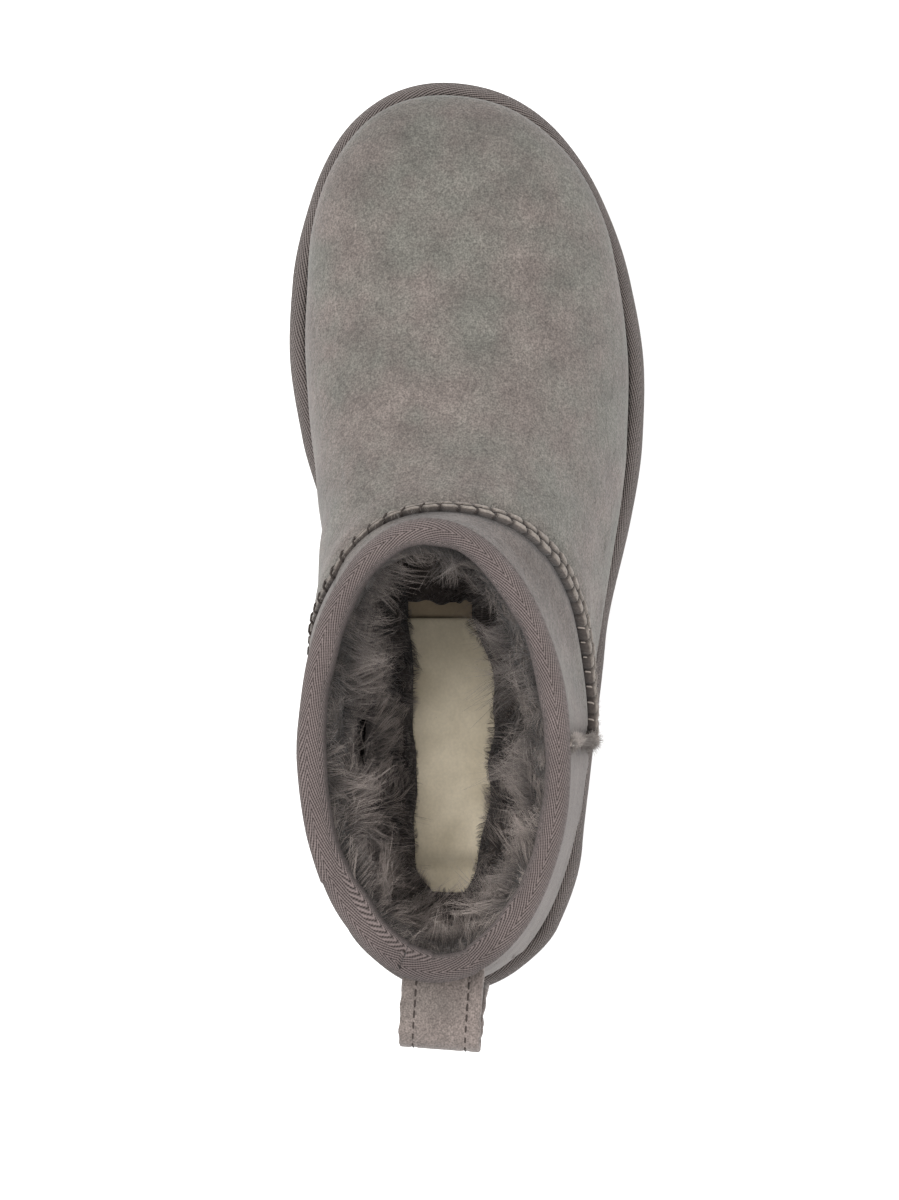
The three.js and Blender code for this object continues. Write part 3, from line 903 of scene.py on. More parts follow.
class Drawing:
    """Turns drawn millimetres into finished objects in the frame."""

    def __init__(self) -> None:
        """Finds the frame's origin from the box of the tape on the sole."""
        low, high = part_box("sole_binding")
        x = np.linspace(150, 215, 400)
        widest = float(np.max(FORM.outline_middle(x) + FORM.outline_half(x)))
        self.origin = np.array([low.x / MM, high.y / MM - widest, 0.0])

    def place(self, points: Array) -> Array:
        """Returns: drawn points in the frame, in metres."""
        return (points + self.origin) * MM

    def object(
        self, name: str, points: Array, faces: Array | list, material: bpy.types.Material
    ) -> bpy.types.Object:
        """Makes a smooth object.

        Args:
            name: the object's name.
            points: its points, in drawn millimetres.
            faces: rows of point numbers.
            material: its material.

        Returns: the object.
        """
        mesh = bpy.data.meshes.new(name)
        faces = faces.tolist() if isinstance(faces, np.ndarray) else faces
        mesh.from_pydata(self.place(points.reshape(-1, 3)), [], faces)
        mesh.materials.append(material)
        mesh.shade_smooth()
        made = bpy.data.objects.new(name, mesh)
        bpy.context.collection.objects.link(made)
        return made

    def grid(
        self, name: str, rows: Array, material: bpy.types.Material, loop: bool = False, ends: bool = False
    ) -> bpy.types.Object:
        """An object from rows of points that each close on themselves.

        Args:
            name: the object's name.
            rows: array of rows, points, coordinates.
            material: its material.
            loop: the last row joins the first.
            ends: closes the first and the last row with a face.

        Returns: the object.
        """
        count, n = rows.shape[:2]
        r = np.arange(count if loop else count - 1)[:, None]
        i = np.arange(n)[None, :]
        a, b = r * n + i, r * n + (i + 1) % n
        up = (r + 1) % count * n
        faces = np.stack([a, b, up + (i + 1) % n, up + i], -1).reshape(-1, 4).tolist()
        if ends:
            faces += [list(range(n))[::-1], list(range((count - 1) * n, count * n))]
        return self.object(name, rows, faces, material)

    @staticmethod
    def weld(made: bpy.types.Object) -> bpy.types.Object:
        """Joins points that lie on each other.

        Args:
            made: the object.

        Returns: the same object.
        """
        mesh = bmesh.new()
        mesh.from_mesh(made.data)
        bmesh.ops.remove_doubles(mesh, verts=mesh.verts, dist=2e-6)
        bmesh.ops.dissolve_degenerate(mesh, edges=mesh.edges, dist=2e-6)
        mesh.to_mesh(made.data)
        mesh.free()
        return made

    @staticmethod
    def uv(made: bpy.types.Object, u: Array, v: Array, turn: float) -> None:
        """Lays out UVs in millimetres on a grid.

        Args:
            made: the object.
            u: length round, for each point.
            v: length across, for each point.
            turn: the whole way round.
        """
        mesh = made.data
        layer = mesh.uv_layers.new(name="length")
        corner = np.empty(len(mesh.loops), int)
        mesh.loops.foreach_get("vertex_index", corner)
        uv = np.stack([u.ravel()[corner], v.ravel()[corner]], -1)
        start = np.empty(len(mesh.polygons), int)
        mesh.polygons.foreach_get("loop_start", start)
        face = np.repeat(np.arange(len(start)), np.diff(np.append(start, len(corner))))
        high = np.maximum.reduceat(uv[:, 0], start)[face]
        uv[:, 0] += np.where(high - uv[:, 0] > turn / 2, turn, 0)
        layer.data.foreach_set("uv", uv.astype(np.float32).ravel())

    @staticmethod
    def store(made: bpy.types.Object, name: str, values: Array) -> None:
        """Stores a number or a vector for each point of an object's mesh.

        Args:
            made: the object.
            name: the attribute's name.
            values: the values.
        """
        kind = "FLOAT_VECTOR" if values.ndim > 1 and values.shape[-1] == 3 else "FLOAT"
        layer = made.data.attributes.new(name, kind, "POINT")
        key = "vector" if kind == "FLOAT_VECTOR" else "value"
        layer.data.foreach_set(key, values.astype(np.float32).ravel())

    @staticmethod
    def face_outwards(made: bpy.types.Object) -> bpy.types.Object:
        """Turns a closed object's faces outwards.

        Args:
            made: the object.

        Returns: the same object.
        """
        mesh = made.data
        co = np.empty(len(mesh.vertices) * 3)
        mesh.vertices.foreach_get("co", co)
        co = co.reshape(-1, 3)
        mesh.calc_loop_triangles()
        tri = np.empty(len(mesh.loop_triangles) * 3, int)
        mesh.loop_triangles.foreach_get("vertices", tri)
        a, b, c = co[tri.reshape(-1, 3)].transpose(1, 0, 2)
        if np.einsum("ij,ij->", a - co.mean(0), np.cross(b - co.mean(0), c - co.mean(0))) < 0:
            mesh.flip_normals()
        return made

    @staticmethod
    def publish(made: bpy.types.Object, slot: Slot, *nodes: str) -> bpy.types.Object:
        """Attaches a finished piece to the root body, hides the CAD nodes that it replaces and logs its
        faces.

        Args:
            made: the piece.
            slot: not used.
            nodes: the CAD nodes that it replaces.

        Returns: the piece.
        """
        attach(made, "root")
        if nodes:
            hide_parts(*nodes)
        LOG.info("%s: %d faces", made.name, len(made.data.polygons))
        return made


def distance_to(points: Array, targets: Array) -> Array:
    """Distance from points to the nearest of some others.

    Args:
        points: places.
        targets: the others, one a row.

    Returns: one distance for each point.
    """
    tree = KDTree(len(targets))
    for i, p in enumerate(targets):
        tree.insert(p, i)
    tree.balance()
    flat = [tree.find(p)[2] for p in points.reshape(-1, 3)]
    return np.array(flat).reshape(points.shape[:-1])


def lengths(points: Array) -> Array:
    """Returns: running length along a row of points."""
    return np.concatenate([[0], np.cumsum(np.linalg.norm(np.diff(points, axis=0), axis=1))])


def evenly(points: Array, pitch: float) -> tuple[Array, Array]:
    """Points at an even pitch along a path.

    Args:
        points: the path's own points.
        pitch: distance wanted between them.

    Returns: the points, and the running length at each.
    """
    run = lengths(points)
    at = np.linspace(0, run[-1], max(int(run[-1] / pitch), 2))
    return np.stack([np.interp(at, run, c) for c in points.T], -1), at


def sweep(path: Array, up: Array, section: Array) -> Array:
    """Rows of points of a section carried along a path.

    Args:
        path: points of the path.
        up: direction of the section's second axis at each point.
        section: one section (m, 2), or one for each point (n, m, 2), across and up.

    Returns: an array (n, m, 3).
    """
    along = unit(np.gradient(path, axis=0))
    across = unit(np.cross(along, up))
    up = np.cross(across, along)
    section = np.broadcast_to(section, (len(path), *section.shape[-2:]))
    return path[:, None] + across[:, None] * section[..., :1] + up[:, None] * section[..., 1:]


def rounded(width: float, low: float, high: float, corner: float, per_corner: int = 4) -> Array:
    """A rectangle with round corners.

    Args:
        width: across, centred.
        low, high: bottom and top.
        corner: radius.
        per_corner: points in each corner.

    Returns: its points, one a row.
    """
    turn = np.linspace(0, math.pi / 2, per_corner)
    centres = [(1, 1), (-1, 1), (-1, -1), (1, -1)]
    made = []
    for k, (sx, sy) in enumerate(centres):
        a = turn + k * math.pi / 2
        cx = sx * (width / 2 - corner)
        cy = (high - corner) if sy > 0 else (low + corner)
        made.append(np.stack([cx + corner * np.cos(a), cy + corner * np.sin(a)], -1))
    return np.concatenate(made)


# ------------------------------------------------------------------ geometry nodes


class Generators:
    """The two geometry node groups: strands on a surface and stitches on points."""

    def __init__(self) -> None:
        """Builds both node groups."""
        self.strands = self._strands()
        self.stitches = self._stitches()

    @staticmethod
    def _group(name: str, inputs: Sequence[tuple[str, str]]) -> tuple[Graph, dict[str, Wire]]:
        """Starts a node group.

        Args:
            name: the group's name.
            inputs: name and kind of each input after the geometry.

        Returns: its graph, and a wire for each input by name.
        """
        tree = bpy.data.node_groups.new(name, "GeometryNodeTree")
        kinds = [("Geometry", "Geometry"), *inputs]
        for label, kind in kinds:
            tree.interface.new_socket(label, in_out="INPUT", socket_type="NodeSocket" + kind)
        tree.interface.new_socket("Geometry", in_out="OUTPUT", socket_type="NodeSocketGeometry")
        g = Graph(tree)
        first = g.add("NodeGroupInput")
        outputs = first.socket.node.outputs
        return g, {label: Wire(g, outputs[label]) for label, _ in kinds}

    @staticmethod
    def _finish(g: Graph, geometry: Wire, material: Wire) -> bpy.types.NodeTree:
        """Ends a group in realized instances with their material.

        Args:
            g: the graph.
            geometry: what it made.
            material: the material's wire.

        Returns: the node group.
        """
        real = g.add("GeometryNodeRealizeInstances", None, {0: geometry})
        done = g.add("GeometryNodeSetMaterial", None, {"Geometry": real, "Material": material})
        g.add("NodeGroupOutput", None, {0: done})
        return g.tree

    def _strands(self) -> bpy.types.NodeTree:
        """Strands in locks, rooted all over a surface.

        Returns: the node group.
        """
        sizes = ["Density", "Length", "Lean", "Clump", "Radius", "Curl"]
        inputs = [(s, "Float") for s in sizes] + [("Seed", "Int"), ("Material", "Material")]
        g, i = self._group("Strands", inputs)
        read = lambda name, kind="FLOAT_VECTOR": g.add(
            "GeometryNodeInputNamedAttribute", {"data_type": kind}, {"Name": name}
        )
        store = lambda geometry, name, value, kind="FLOAT_VECTOR": g.add(
            "GeometryNodeStoreNamedAttribute",
            {"data_type": kind, "domain": "POINT"},
            {"Geometry": geometry, "Name": name, "Value": value},
        )
        thick = read("thick", "FLOAT")
        spread = {"Mesh": i["Geometry"], "Density": i["Density"] * thick, "Seed": i["Seed"]}
        points = g.add("GeometryNodeDistributePointsOnFaces", None, spread)
        grow = Wire(g, points.socket.node.outputs["Normal"])
        here = g.add("GeometryNodeInputPosition")
        rooted = store(store(points, "root", here), "grow", grow)
        chance = g.add(
            "FunctionNodeRandomValue",
            {"data_type": "FLOAT"},
            {2: 0.65, 3: 1.25, "Seed": i["Seed"]},
            1,
        )
        rooted = store(rooted, "size", chance, "FLOAT")
        rooted = store(rooted, "grown", read("long", "FLOAT"), "FLOAT")
        line = g.add("GeometryNodeCurvePrimitiveLine", None, {"End": (0.0, 0.0, 0.001)})
        line = g.add("GeometryNodeResampleCurve", None, {"Curve": line, "Count": 4})
        set_on = {"Points": rooted, "Instance": line}
        lines = g.add("GeometryNodeInstanceOnPoints", None, set_on)
        curves = g.add("GeometryNodeRealizeInstances", None, {0: lines})
        s = g.add("GeometryNodeSplineParameter")
        root, up, size = read("root"), read("grow"), read("size", "FLOAT")
        length = i["Length"] * size * read("grown", "FLOAT")
        flow = g.noise(root, 16, 1, "Color") - 0.5
        curl = g.noise(root + up * (s * i["Length"]), 2.6, 1, "Color") - 0.5
        jittered = root + (g.noise(root, 5, 1, "Color") - 0.5) * 0.004
        cells = g.add("ShaderNodeTexVoronoi", None, {"Vector": jittered, "Scale": 1 / i["Clump"]}, "Position")
        tone = g.add("ShaderNodeTexVoronoi", None, {"Vector": jittered, "Scale": 1 / i["Clump"]}, "Color")
        drift = g.noise(root, 17, 2)
        bend = s * s
        lock = tone - 0.5
        offset = up * (length * (s - bend * 0.42))
        offset = offset + (lock * 0.7 + flow * 3.2) * (length * i["Lean"] * bend)
        offset = offset + (cells - root) * (bend * 0.3)
        offset = offset + curl * (length * i["Curl"] * s)
        moved = g.add("GeometryNodeSetPosition", None, {"Geometry": curves, "Position": root + offset})
        grey = g.add("ShaderNodeSeparateXYZ", None, {0: tone}, 0)
        shade = grey * 0.45 + g.stretch(drift, 0.35, 0.65) * 0.55
        toned = store(store(moved, "along", s, "FLOAT"), "tone", shade, "FLOAT")
        thin = i["Radius"] * (1.0 - s * 0.8)
        round_ = g.add("GeometryNodeSetCurveRadius", None, {"Curve": toned, "Radius": thin})
        profile = g.add("GeometryNodeCurvePrimitiveCircle", None, {"Resolution": 3, "Radius": 1.0})
        tube = {"Curve": round_, "Profile Curve": profile}
        node = g.add("GeometryNodeCurveToMesh", None, tube)
        if "Scale" in node.socket.node.inputs:
            g.tree.links.new(thin.socket, node.socket.node.inputs["Scale"])
        return self._finish(g, node, i["Material"])

    def _stitches(self) -> bpy.types.NodeTree:
        """One stitch at each point, turned along the path.

        Returns: the node group.
        """
        inputs = [("Stitch", "Object"), ("Jitter", "Float"), ("Seed", "Int"), ("Material", "Material")]
        g, i = self._group("Stitches", inputs)
        read = lambda name: g.add(
            "GeometryNodeInputNamedAttribute", {"data_type": "FLOAT_VECTOR"}, {"Name": name}
        )
        settings = {"primary_axis": "Z", "secondary_axis": "X"}
        axes = {"Primary Axis": read("up"), "Secondary Axis": read("along")}
        turned = g.add("FunctionNodeAxesToRotation", settings, axes)
        low, high = 1.0 - i["Jitter"], 1.0 + i["Jitter"]
        chance = {2: low, 3: high, "Seed": i["Seed"]}
        size = g.add("FunctionNodeRandomValue", {"data_type": "FLOAT"}, chance, 1)
        stitch = g.add("GeometryNodeObjectInfo", None, {"Object": i["Stitch"]}, "Geometry")
        dots = g.add("GeometryNodeMeshToPoints", None, {"Mesh": i["Geometry"]})
        placed = {"Points": dots, "Instance": stitch, "Rotation": turned, "Scale": size}
        return self._finish(g, g.add("GeometryNodeInstanceOnPoints", None, placed), i["Material"])

    @staticmethod
    def bake(
        carrier: bpy.types.Object, group: bpy.types.NodeTree, name: str, values: dict
    ) -> bpy.types.Object:
        """Runs a group on an object and keeps only what it makes.

        Args:
            carrier: the object it runs on, removed at the end.
            group: the node group.
            name: name of the new object.
            values: the group's inputs, by name.

        Returns: the new object.
        """
        modifier = carrier.modifiers.new("generate", "NODES")
        modifier.node_group = group
        for item in group.interface.items_tree:
            if item.in_out == "INPUT" and item.name in values:
                modifier[item.identifier] = values[item.name]
        carrier.update_tag()
        depsgraph = bpy.context.evaluated_depsgraph_get()
        mesh = bpy.data.meshes.new_from_object(carrier.evaluated_get(depsgraph))
        carrier.modifiers.clear()
        bpy.data.objects.remove(carrier, do_unlink=True)
        made = bpy.data.objects.new(name, mesh)
        mesh.name = name
        mesh.shade_smooth()
        bpy.context.collection.objects.link(made)
        return made


@dataclass
class Workshop:
    """What every sub-assembly needs."""

    drawing: Drawing
    looks: Looks
    generators: Generators

    def along(
        self,
        name: str,
        path: Array,
        up: Array,
        stitch: bpy.types.Object,
        material: bpy.types.Material,
        jitter: float = 0.1,
    ) -> bpy.types.Object:
        """Stitches at the points of a path.

        Args:
            name: the new object's name.
            path: one point for each stitch.
            up: direction away from the surface at each.
            stitch: the stitch's own object, along X with Z up.
            material: the thread's material.
            jitter: share by which sizes differ.

        Returns: the baked object.
        """
        carrier = self.drawing.object(name + "_points", path, [], material)
        self.drawing.store(carrier, "up", up)
        self.drawing.store(carrier, "along", unit(np.gradient(path, axis=0)))
        values = {"Stitch": stitch, "Jitter": jitter, "Seed": 3, "Material": material}
        return self.generators.bake(carrier, self.generators.stitches, name, values)

    def thread(
        self, name: str, points: Sequence[tuple[float, float, float]], radius: float
    ) -> bpy.types.Object:
        """A bent piece of thread, not linked to the scene.

        Args:
            name: the object's name.
            points: points it passes through, in millimetres.
            radius: the thread's radius.

        Returns: the object.
        """
        path, _ = evenly(np.array(points, float), 0.35)
        a = np.linspace(0, 2 * math.pi, 6, endpoint=False)
        ring = np.stack([np.cos(a), np.sin(a)], -1) * radius
        rows = sweep(path, np.array([[0.0, 0.3, 1.0]] * len(path)), ring)
        origin, self.drawing.origin = self.drawing.origin, np.zeros(3)
        made = self.drawing.grid(name, rows, self.looks.thread, ends=True)
        self.drawing.origin = origin
        bpy.context.collection.objects.unlink(made)
        return made


# ------------------------------------------------------------------ sub-assemblies


@dataclass
class Upper:
    """The shell of skin and wool: suede outside, wool inside."""

    shop: Workshop
    steps: Steps = Steps(44, 84, 112)
    outer_rows: int = 124
    inner_rows: int = 18

    def _rows(self, count: int) -> list[tuple[Level, Callable[[Array], Array]]]:
        """Places of the rings from the sole to the topline.

        Args:
            count: how many.

        Returns: the level and the height of each.
        """
        bottom, top = Level(0), Level(1)
        low = max(count // 12, 3)
        made = [(bottom, lambda x, r=r: FORM.sole_top(x) + r) for r in np.linspace(GAP, 9, low)]
        for v in np.linspace(0.13, 0.86, count - 2 * low):
            made.append((Level(v), None))
        drops = np.linspace(RIM_DEPTH, 0, low)
        made += [(top, lambda x, d=d: top.height(x) - d) for d in drops]
        return [(at, height or at.height) for at, height in made]

    def _creases(self, p: Array) -> Array:
        """How far the suede rises off its plain form.

        Args:
            p: points of the outer face.

        Returns: the rise in millimetres.
        """
        rise = 0.55 * lumps(p, 42, 3.1) + 0.16 * lumps(p, 15, 8.2)
        for crease in CREASES:
            rise += crease.rise(p)
        return rise

    def build(self) -> bpy.types.Object:
        """Returns: the finished shell."""
        outer = np.stack([at.offset(self.steps, h, 0) for at, h in self._rows(self.outer_rows)])
        wool = lambda x, y, z: FORM.outside(x, y, z) + FORM.wall(x, z)
        inner = np.stack([at.ring(self.steps, h, wool) for at, h in self._rows(self.inner_rows)])
        out = FORM.normal(outer.reshape(-1, 3)).reshape(outer.shape)
        seam = instep_path(0.8)[0]
        near = distance_to(outer, seam)
        uprights = np.concatenate([side_path(turn, 0.8)[0] for turn in SIDE_SEAM_TURNS])
        close = np.minimum(near, distance_to(outer, uprights))
        x, y, z = outer[..., 0], outer[..., 1], outer[..., 2]
        free = smooth(RIM_DEPTH, RIM_DEPTH + 8, FORM.collar(x) - z) * smooth(8, 16, z - FORM.sole_top(x))
        rise = self._creases(outer) * free - 1.0 * np.exp(-((close / 2.6) ** 2)) * free
        rise += 0.45 * np.exp(-(((close - 6.5) / 3.0) ** 2)) * free
        turn = np.degrees(np.arctan2(y, x - LEG_CENTRE))
        above = z - Curve(INSTEP_SEAM.turn, INSTEP_SEAM.z)(turn)
        leg = smooth(-1.5, 1.5, above) * (1 - 0.6 * np.exp(-(((turn + 64) / 20) ** 2)))
        size = Curve(INSTEP_SEAM.turn, INSTEP_SEAM.thick)(turn)
        # painted shadow along the foot of the raised seams, stronger on the leg side
        seam_shade = np.exp(-(((close - size * 0.55) / 0.9) ** 2)) * np.where(above > 0, 0.75, 0.3) * (close < 9)
        outer = outer + out * rise[..., None]
        inside = FORM.normal(inner.reshape(-1, 3)).reshape(inner.shape)
        soft = smooth(3, 14, FORM.collar(inner[..., 0]) - inner[..., 2])
        push = (1.5 * lumps(inner, 11, 4.0) + 0.7 * lumps(inner, 5, 9.0)) * soft
        inner = inner + inside * push[..., None]
        rows = np.concatenate([outer, inner[::-1]])
        made = self.shop.drawing.grid("upper_shell", rows, self.shop.looks.suede, loop=True)
        made.data.materials.append(self.shop.looks.wool_skin)
        rings = np.arange(len(made.data.polygons)) // outer.shape[1]
        made.data.polygons.foreach_set("material_index", (rings >= self.outer_rows).astype(np.int32))
        none = np.zeros(inner.shape[:2])
        self.shop.drawing.store(made, "leg", np.concatenate([leg, none]))
        self.shop.drawing.store(made, "seam_shade", np.concatenate([seam_shade, none]))
        self.shop.drawing.face_outwards(made)
        return self.shop.drawing.publish(made, Slot.SUEDE, "upper")


@dataclass(frozen=True)
class Crease:
    """A soft trough (negative) or ridge in the suede between two points, in millimetres."""

    start: tuple[float, float, float]
    end: tuple[float, float, float]
    height: float
    width: float

    def rise(self, p: Array) -> Array:
        """The crease's own rise.

        Args:
            p: points of the outer face.

        Returns: the rise at each.
        """
        a, b = np.array(self.start), np.array(self.end)
        t = np.clip(((p - a) @ (b - a)) / ((b - a) @ (b - a)), 0, 1)
        away = np.linalg.norm(p - (a + t[..., None] * (b - a)), axis=-1)
        return self.height * np.exp(-((away / self.width) ** 2)) * (4 * t * (1 - t)) ** 0.5


CREASES = (
    Crease((128, -44, 48), (150, -30, 74), -1.1, 6),
    Crease((142, -46, 42), (166, -30, 66), -0.8, 6),
    Crease((124, 38, 50), (146, 26, 80), -1.1, 6),
    Crease((146, 36, 46), (168, 24, 68), -0.7, 7),
    Crease((30, -36, 60), (52, -38, 50), -0.8, 6),
    Crease((28, 33, 58), (54, 34, 48), -0.8, 6),
    Crease((226, -16, 52), (238, 8, 50), -0.5, 8),
)


def instep_path(pitch: float) -> tuple[Array, Array, Array, Array]:
    """The instep seam's line on the upper.

    Args:
        pitch: distance between its points.

    Returns: points, outward directions, thickness and stand.
    """
    turn = np.linspace(INSTEP_SEAM.turn[0], INSTEP_SEAM.turn[-1], 500)
    path, _ = evenly(FORM.on_leg(turn, Curve(INSTEP_SEAM.turn, INSTEP_SEAM.z)(turn)), pitch)
    at = np.degrees(np.arctan2(path[:, 1], path[:, 0] - LEG_CENTRE))
    sizes = [Curve(INSTEP_SEAM.turn, column)(at) for column in (INSTEP_SEAM.thick, INSTEP_SEAM.stand)]
    return path, FORM.normal(path), *sizes


def side_path(turn: float, pitch: float) -> tuple[Array, Array]:
    """An upright seam's line on the leg.

    Args:
        turn: degrees from straight ahead, inner side positive.
        pitch: distance between its points.

    Returns: points and outward directions.
    """
    low = 31.0
    z = np.linspace(low, 108.5, 160)
    path, _ = evenly(FORM.on_leg(turn + 0 * z, z), pitch)
    return path, FORM.normal(path)


@dataclass
class Seams:
    """The raised seams: two raw edges that stand up together, whipped with thread."""

    shop: Workshop
    slant: float = 0.95
    sunk: float = 1.4
    upright: float = 2.2
    upright_inner: float = 0.9
    fuzz_radius: float = 0.06
    fuzz_lean: float = 0.7
    fuzz_curl: float = 1.2
    fuzz_lock: float = 1.5
    turn_of_pale_thread: float = -47.0

    def _flange(self, name: str, path: Array, up: Array, thick: Array, stand: Array) -> None:
        """Two cut edges side by side, pinched at every stitch.

        Args:
            name: the piece's name.
            path: points of the seam.
            up: outward directions.
            thick: thickness of both edges together, at each point.
            stand: how far they stand up, at each point.
        """
        run = lengths(path)[:, None]
        one = rounded(1.0, 0.0, 1.0, 0.18, 4)
        flat = np.linspace(0.29, -0.29, 11)
        one = np.concatenate([one[:4], np.stack([flat, np.ones(11)], -1), one[4:]])
        across, high = one[:, 0] * thick[:, None], one[:, 1]
        phase = (run - self.slant * across) / STITCH_PITCH
        pinch = (0.5 + 0.5 * np.cos(2 * math.pi * phase)) ** 9
        pinch = pinch * mix(0.5, 1.0, smooth(1.5, 2.6, thick))[:, None]
        slot_ = np.exp(-((one[:, 0] / 0.12) ** 2)) * (high > 0.85)
        tall = stand[:, None] * (1 + 0.1 * lumps(path, 7, 2.0)[:, None]) * (1 - 0.45 * pinch - 0.45 * slot_)
        wide = 1 + 0.12 * lumps(path, 5, 6.0)[:, None] - 0.1 * pinch
        section = np.stack([across * wide, high * (tall + self.sunk) - self.sunk], -1)
        rows = sweep(path, up, section)
        rows = rows + sweep_noise(rows, 0.14)
        made = self.shop.drawing.grid(name, rows, self.shop.looks.edge, ends=True)
        # painted shade: dark in the stitch notches, in the slot between the two edges and low on the flange
        dark = np.clip(0.9 * pinch + 0.95 * slot_ + 0.8 * (1 - smooth(0.2, 0.7, high)), 0, 1)
        self.shop.drawing.store(made, "seam_shade", dark * np.ones(rows.shape[:2]))
        self.shop.drawing.store(made, "crest", (high > 0.85) * (1 - pinch))
        self.shop.drawing.face_outwards(made)
        self.shop.drawing.publish(made, Slot.SUEDE)

    def _whip(
        self,
        name: str,
        path: Array,
        up: Array,
        thick: float,
        stand: float,
        material: bpy.types.Material,
    ) -> None:
        """Stitches that go over the two edges.

        Args:
            name: the piece's name.
            path: one point for each stitch.
            up: outward directions.
            thick: thickness of the seam.
            stand: height of the seam.
            material: the thread's material.
        """
        half = thick / 2
        top = stand * 0.62
        ends = [(-1.15, -0.2), (-1.0, top * 0.6), (-0.55, top + 0.2)]
        ends += [(-a, z) for a, z in reversed(ends)]
        points = [(self.slant * a * half, a * half, z) for a, z in ends]
        radius = DARK_THREAD_RADIUS if material is self.shop.looks.dark_thread else THREAD_RADIUS
        stitch = self.shop.thread(name + "_one", points, radius)
        made = self.shop.along(name, path, up, stitch, material)
        self.shop.drawing.publish(made, Slot.SUEDE)

    def _fuzz(
        self, name: str, path: Array, up: Array, stand: Array, density: float, length: float
    ) -> None:
        """Short loose fibres along a seam.

        Args:
            name: the piece's name.
            path: points of the seam.
            up: outward directions.
            stand: height of the seam at each point.
            density: fibres on a square metre of the seam's bed.
            length: their length in millimetres.
        """
        one = np.array([[-1.2, -0.4], [0, 0], [1.2, -0.4], [0, -0.6]])
        section = one + np.stack([0 * stand, stand], -1)[:, None]
        carrier = self.shop.drawing.grid(name + "_bed", sweep(path, up, section), self.shop.looks.fuzz)
        for column in ("thick", "long"):
            self.shop.drawing.store(carrier, column, np.ones(len(carrier.data.vertices)))
        values = {"Density": density, "Length": length * MM, "Lean": self.fuzz_lean}
        values |= {"Clump": self.fuzz_lock * MM, "Radius": self.fuzz_radius * MM}
        values |= {"Curl": self.fuzz_curl, "Seed": 5, "Material": self.shop.looks.fuzz}
        made = self.shop.generators.bake(carrier, self.shop.generators.strands, name, values)
        self.shop.drawing.publish(made, Slot.SUEDE)

    def build(self) -> None:
        """Builds the instep seam and the two upright ones."""
        looks = self.shop.looks
        path, up, thick, stand = instep_path(0.5)
        self._flange("instep_seam", path, up, thick, stand)
        self._fuzz("instep_fuzz", path, up, stand, 1.1e6, 0.9)
        path, up, thick, stand = instep_path(STITCH_PITCH)
        turn = np.degrees(np.arctan2(path[:, 1], path[:, 0] - LEG_CENTRE))
        broad = turn < self.turn_of_pale_thread
        for part, chosen, material in (("outer", broad, looks.thread), ("inner", ~broad, looks.dark_thread)):
            sizes = float(thick[chosen].mean()), float(stand[chosen].mean())
            self._whip(f"instep_stitches_{part}", path[chosen], up[chosen], *sizes, material)
        for side, turn in zip(("outer", "inner"), SIDE_SEAM_TURNS):
            path, up = side_path(turn, 0.5)
            size = np.full(len(path), self.upright if side == "outer" else self.upright_inner)
            self._flange(f"side_seam_{side}", path, up, size, size)
            dots, out = side_path(turn, STITCH_PITCH)
            self._whip(f"side_stitches_{side}", dots, out, size[0], size[0], looks.thread)
            self._fuzz(f"side_fuzz_{side}", path, up, size, 5e6 if side == "outer" else 1.2e6, 2.4)


def sweep_noise(rows: Array, size: float) -> Array:
    """Returns: small irregular shifts for a fuzzy, hand-cut surface."""
    return np.stack([lumps(rows, 1.6, s) for s in (1.0, 5.0, 9.0)], -1) * size


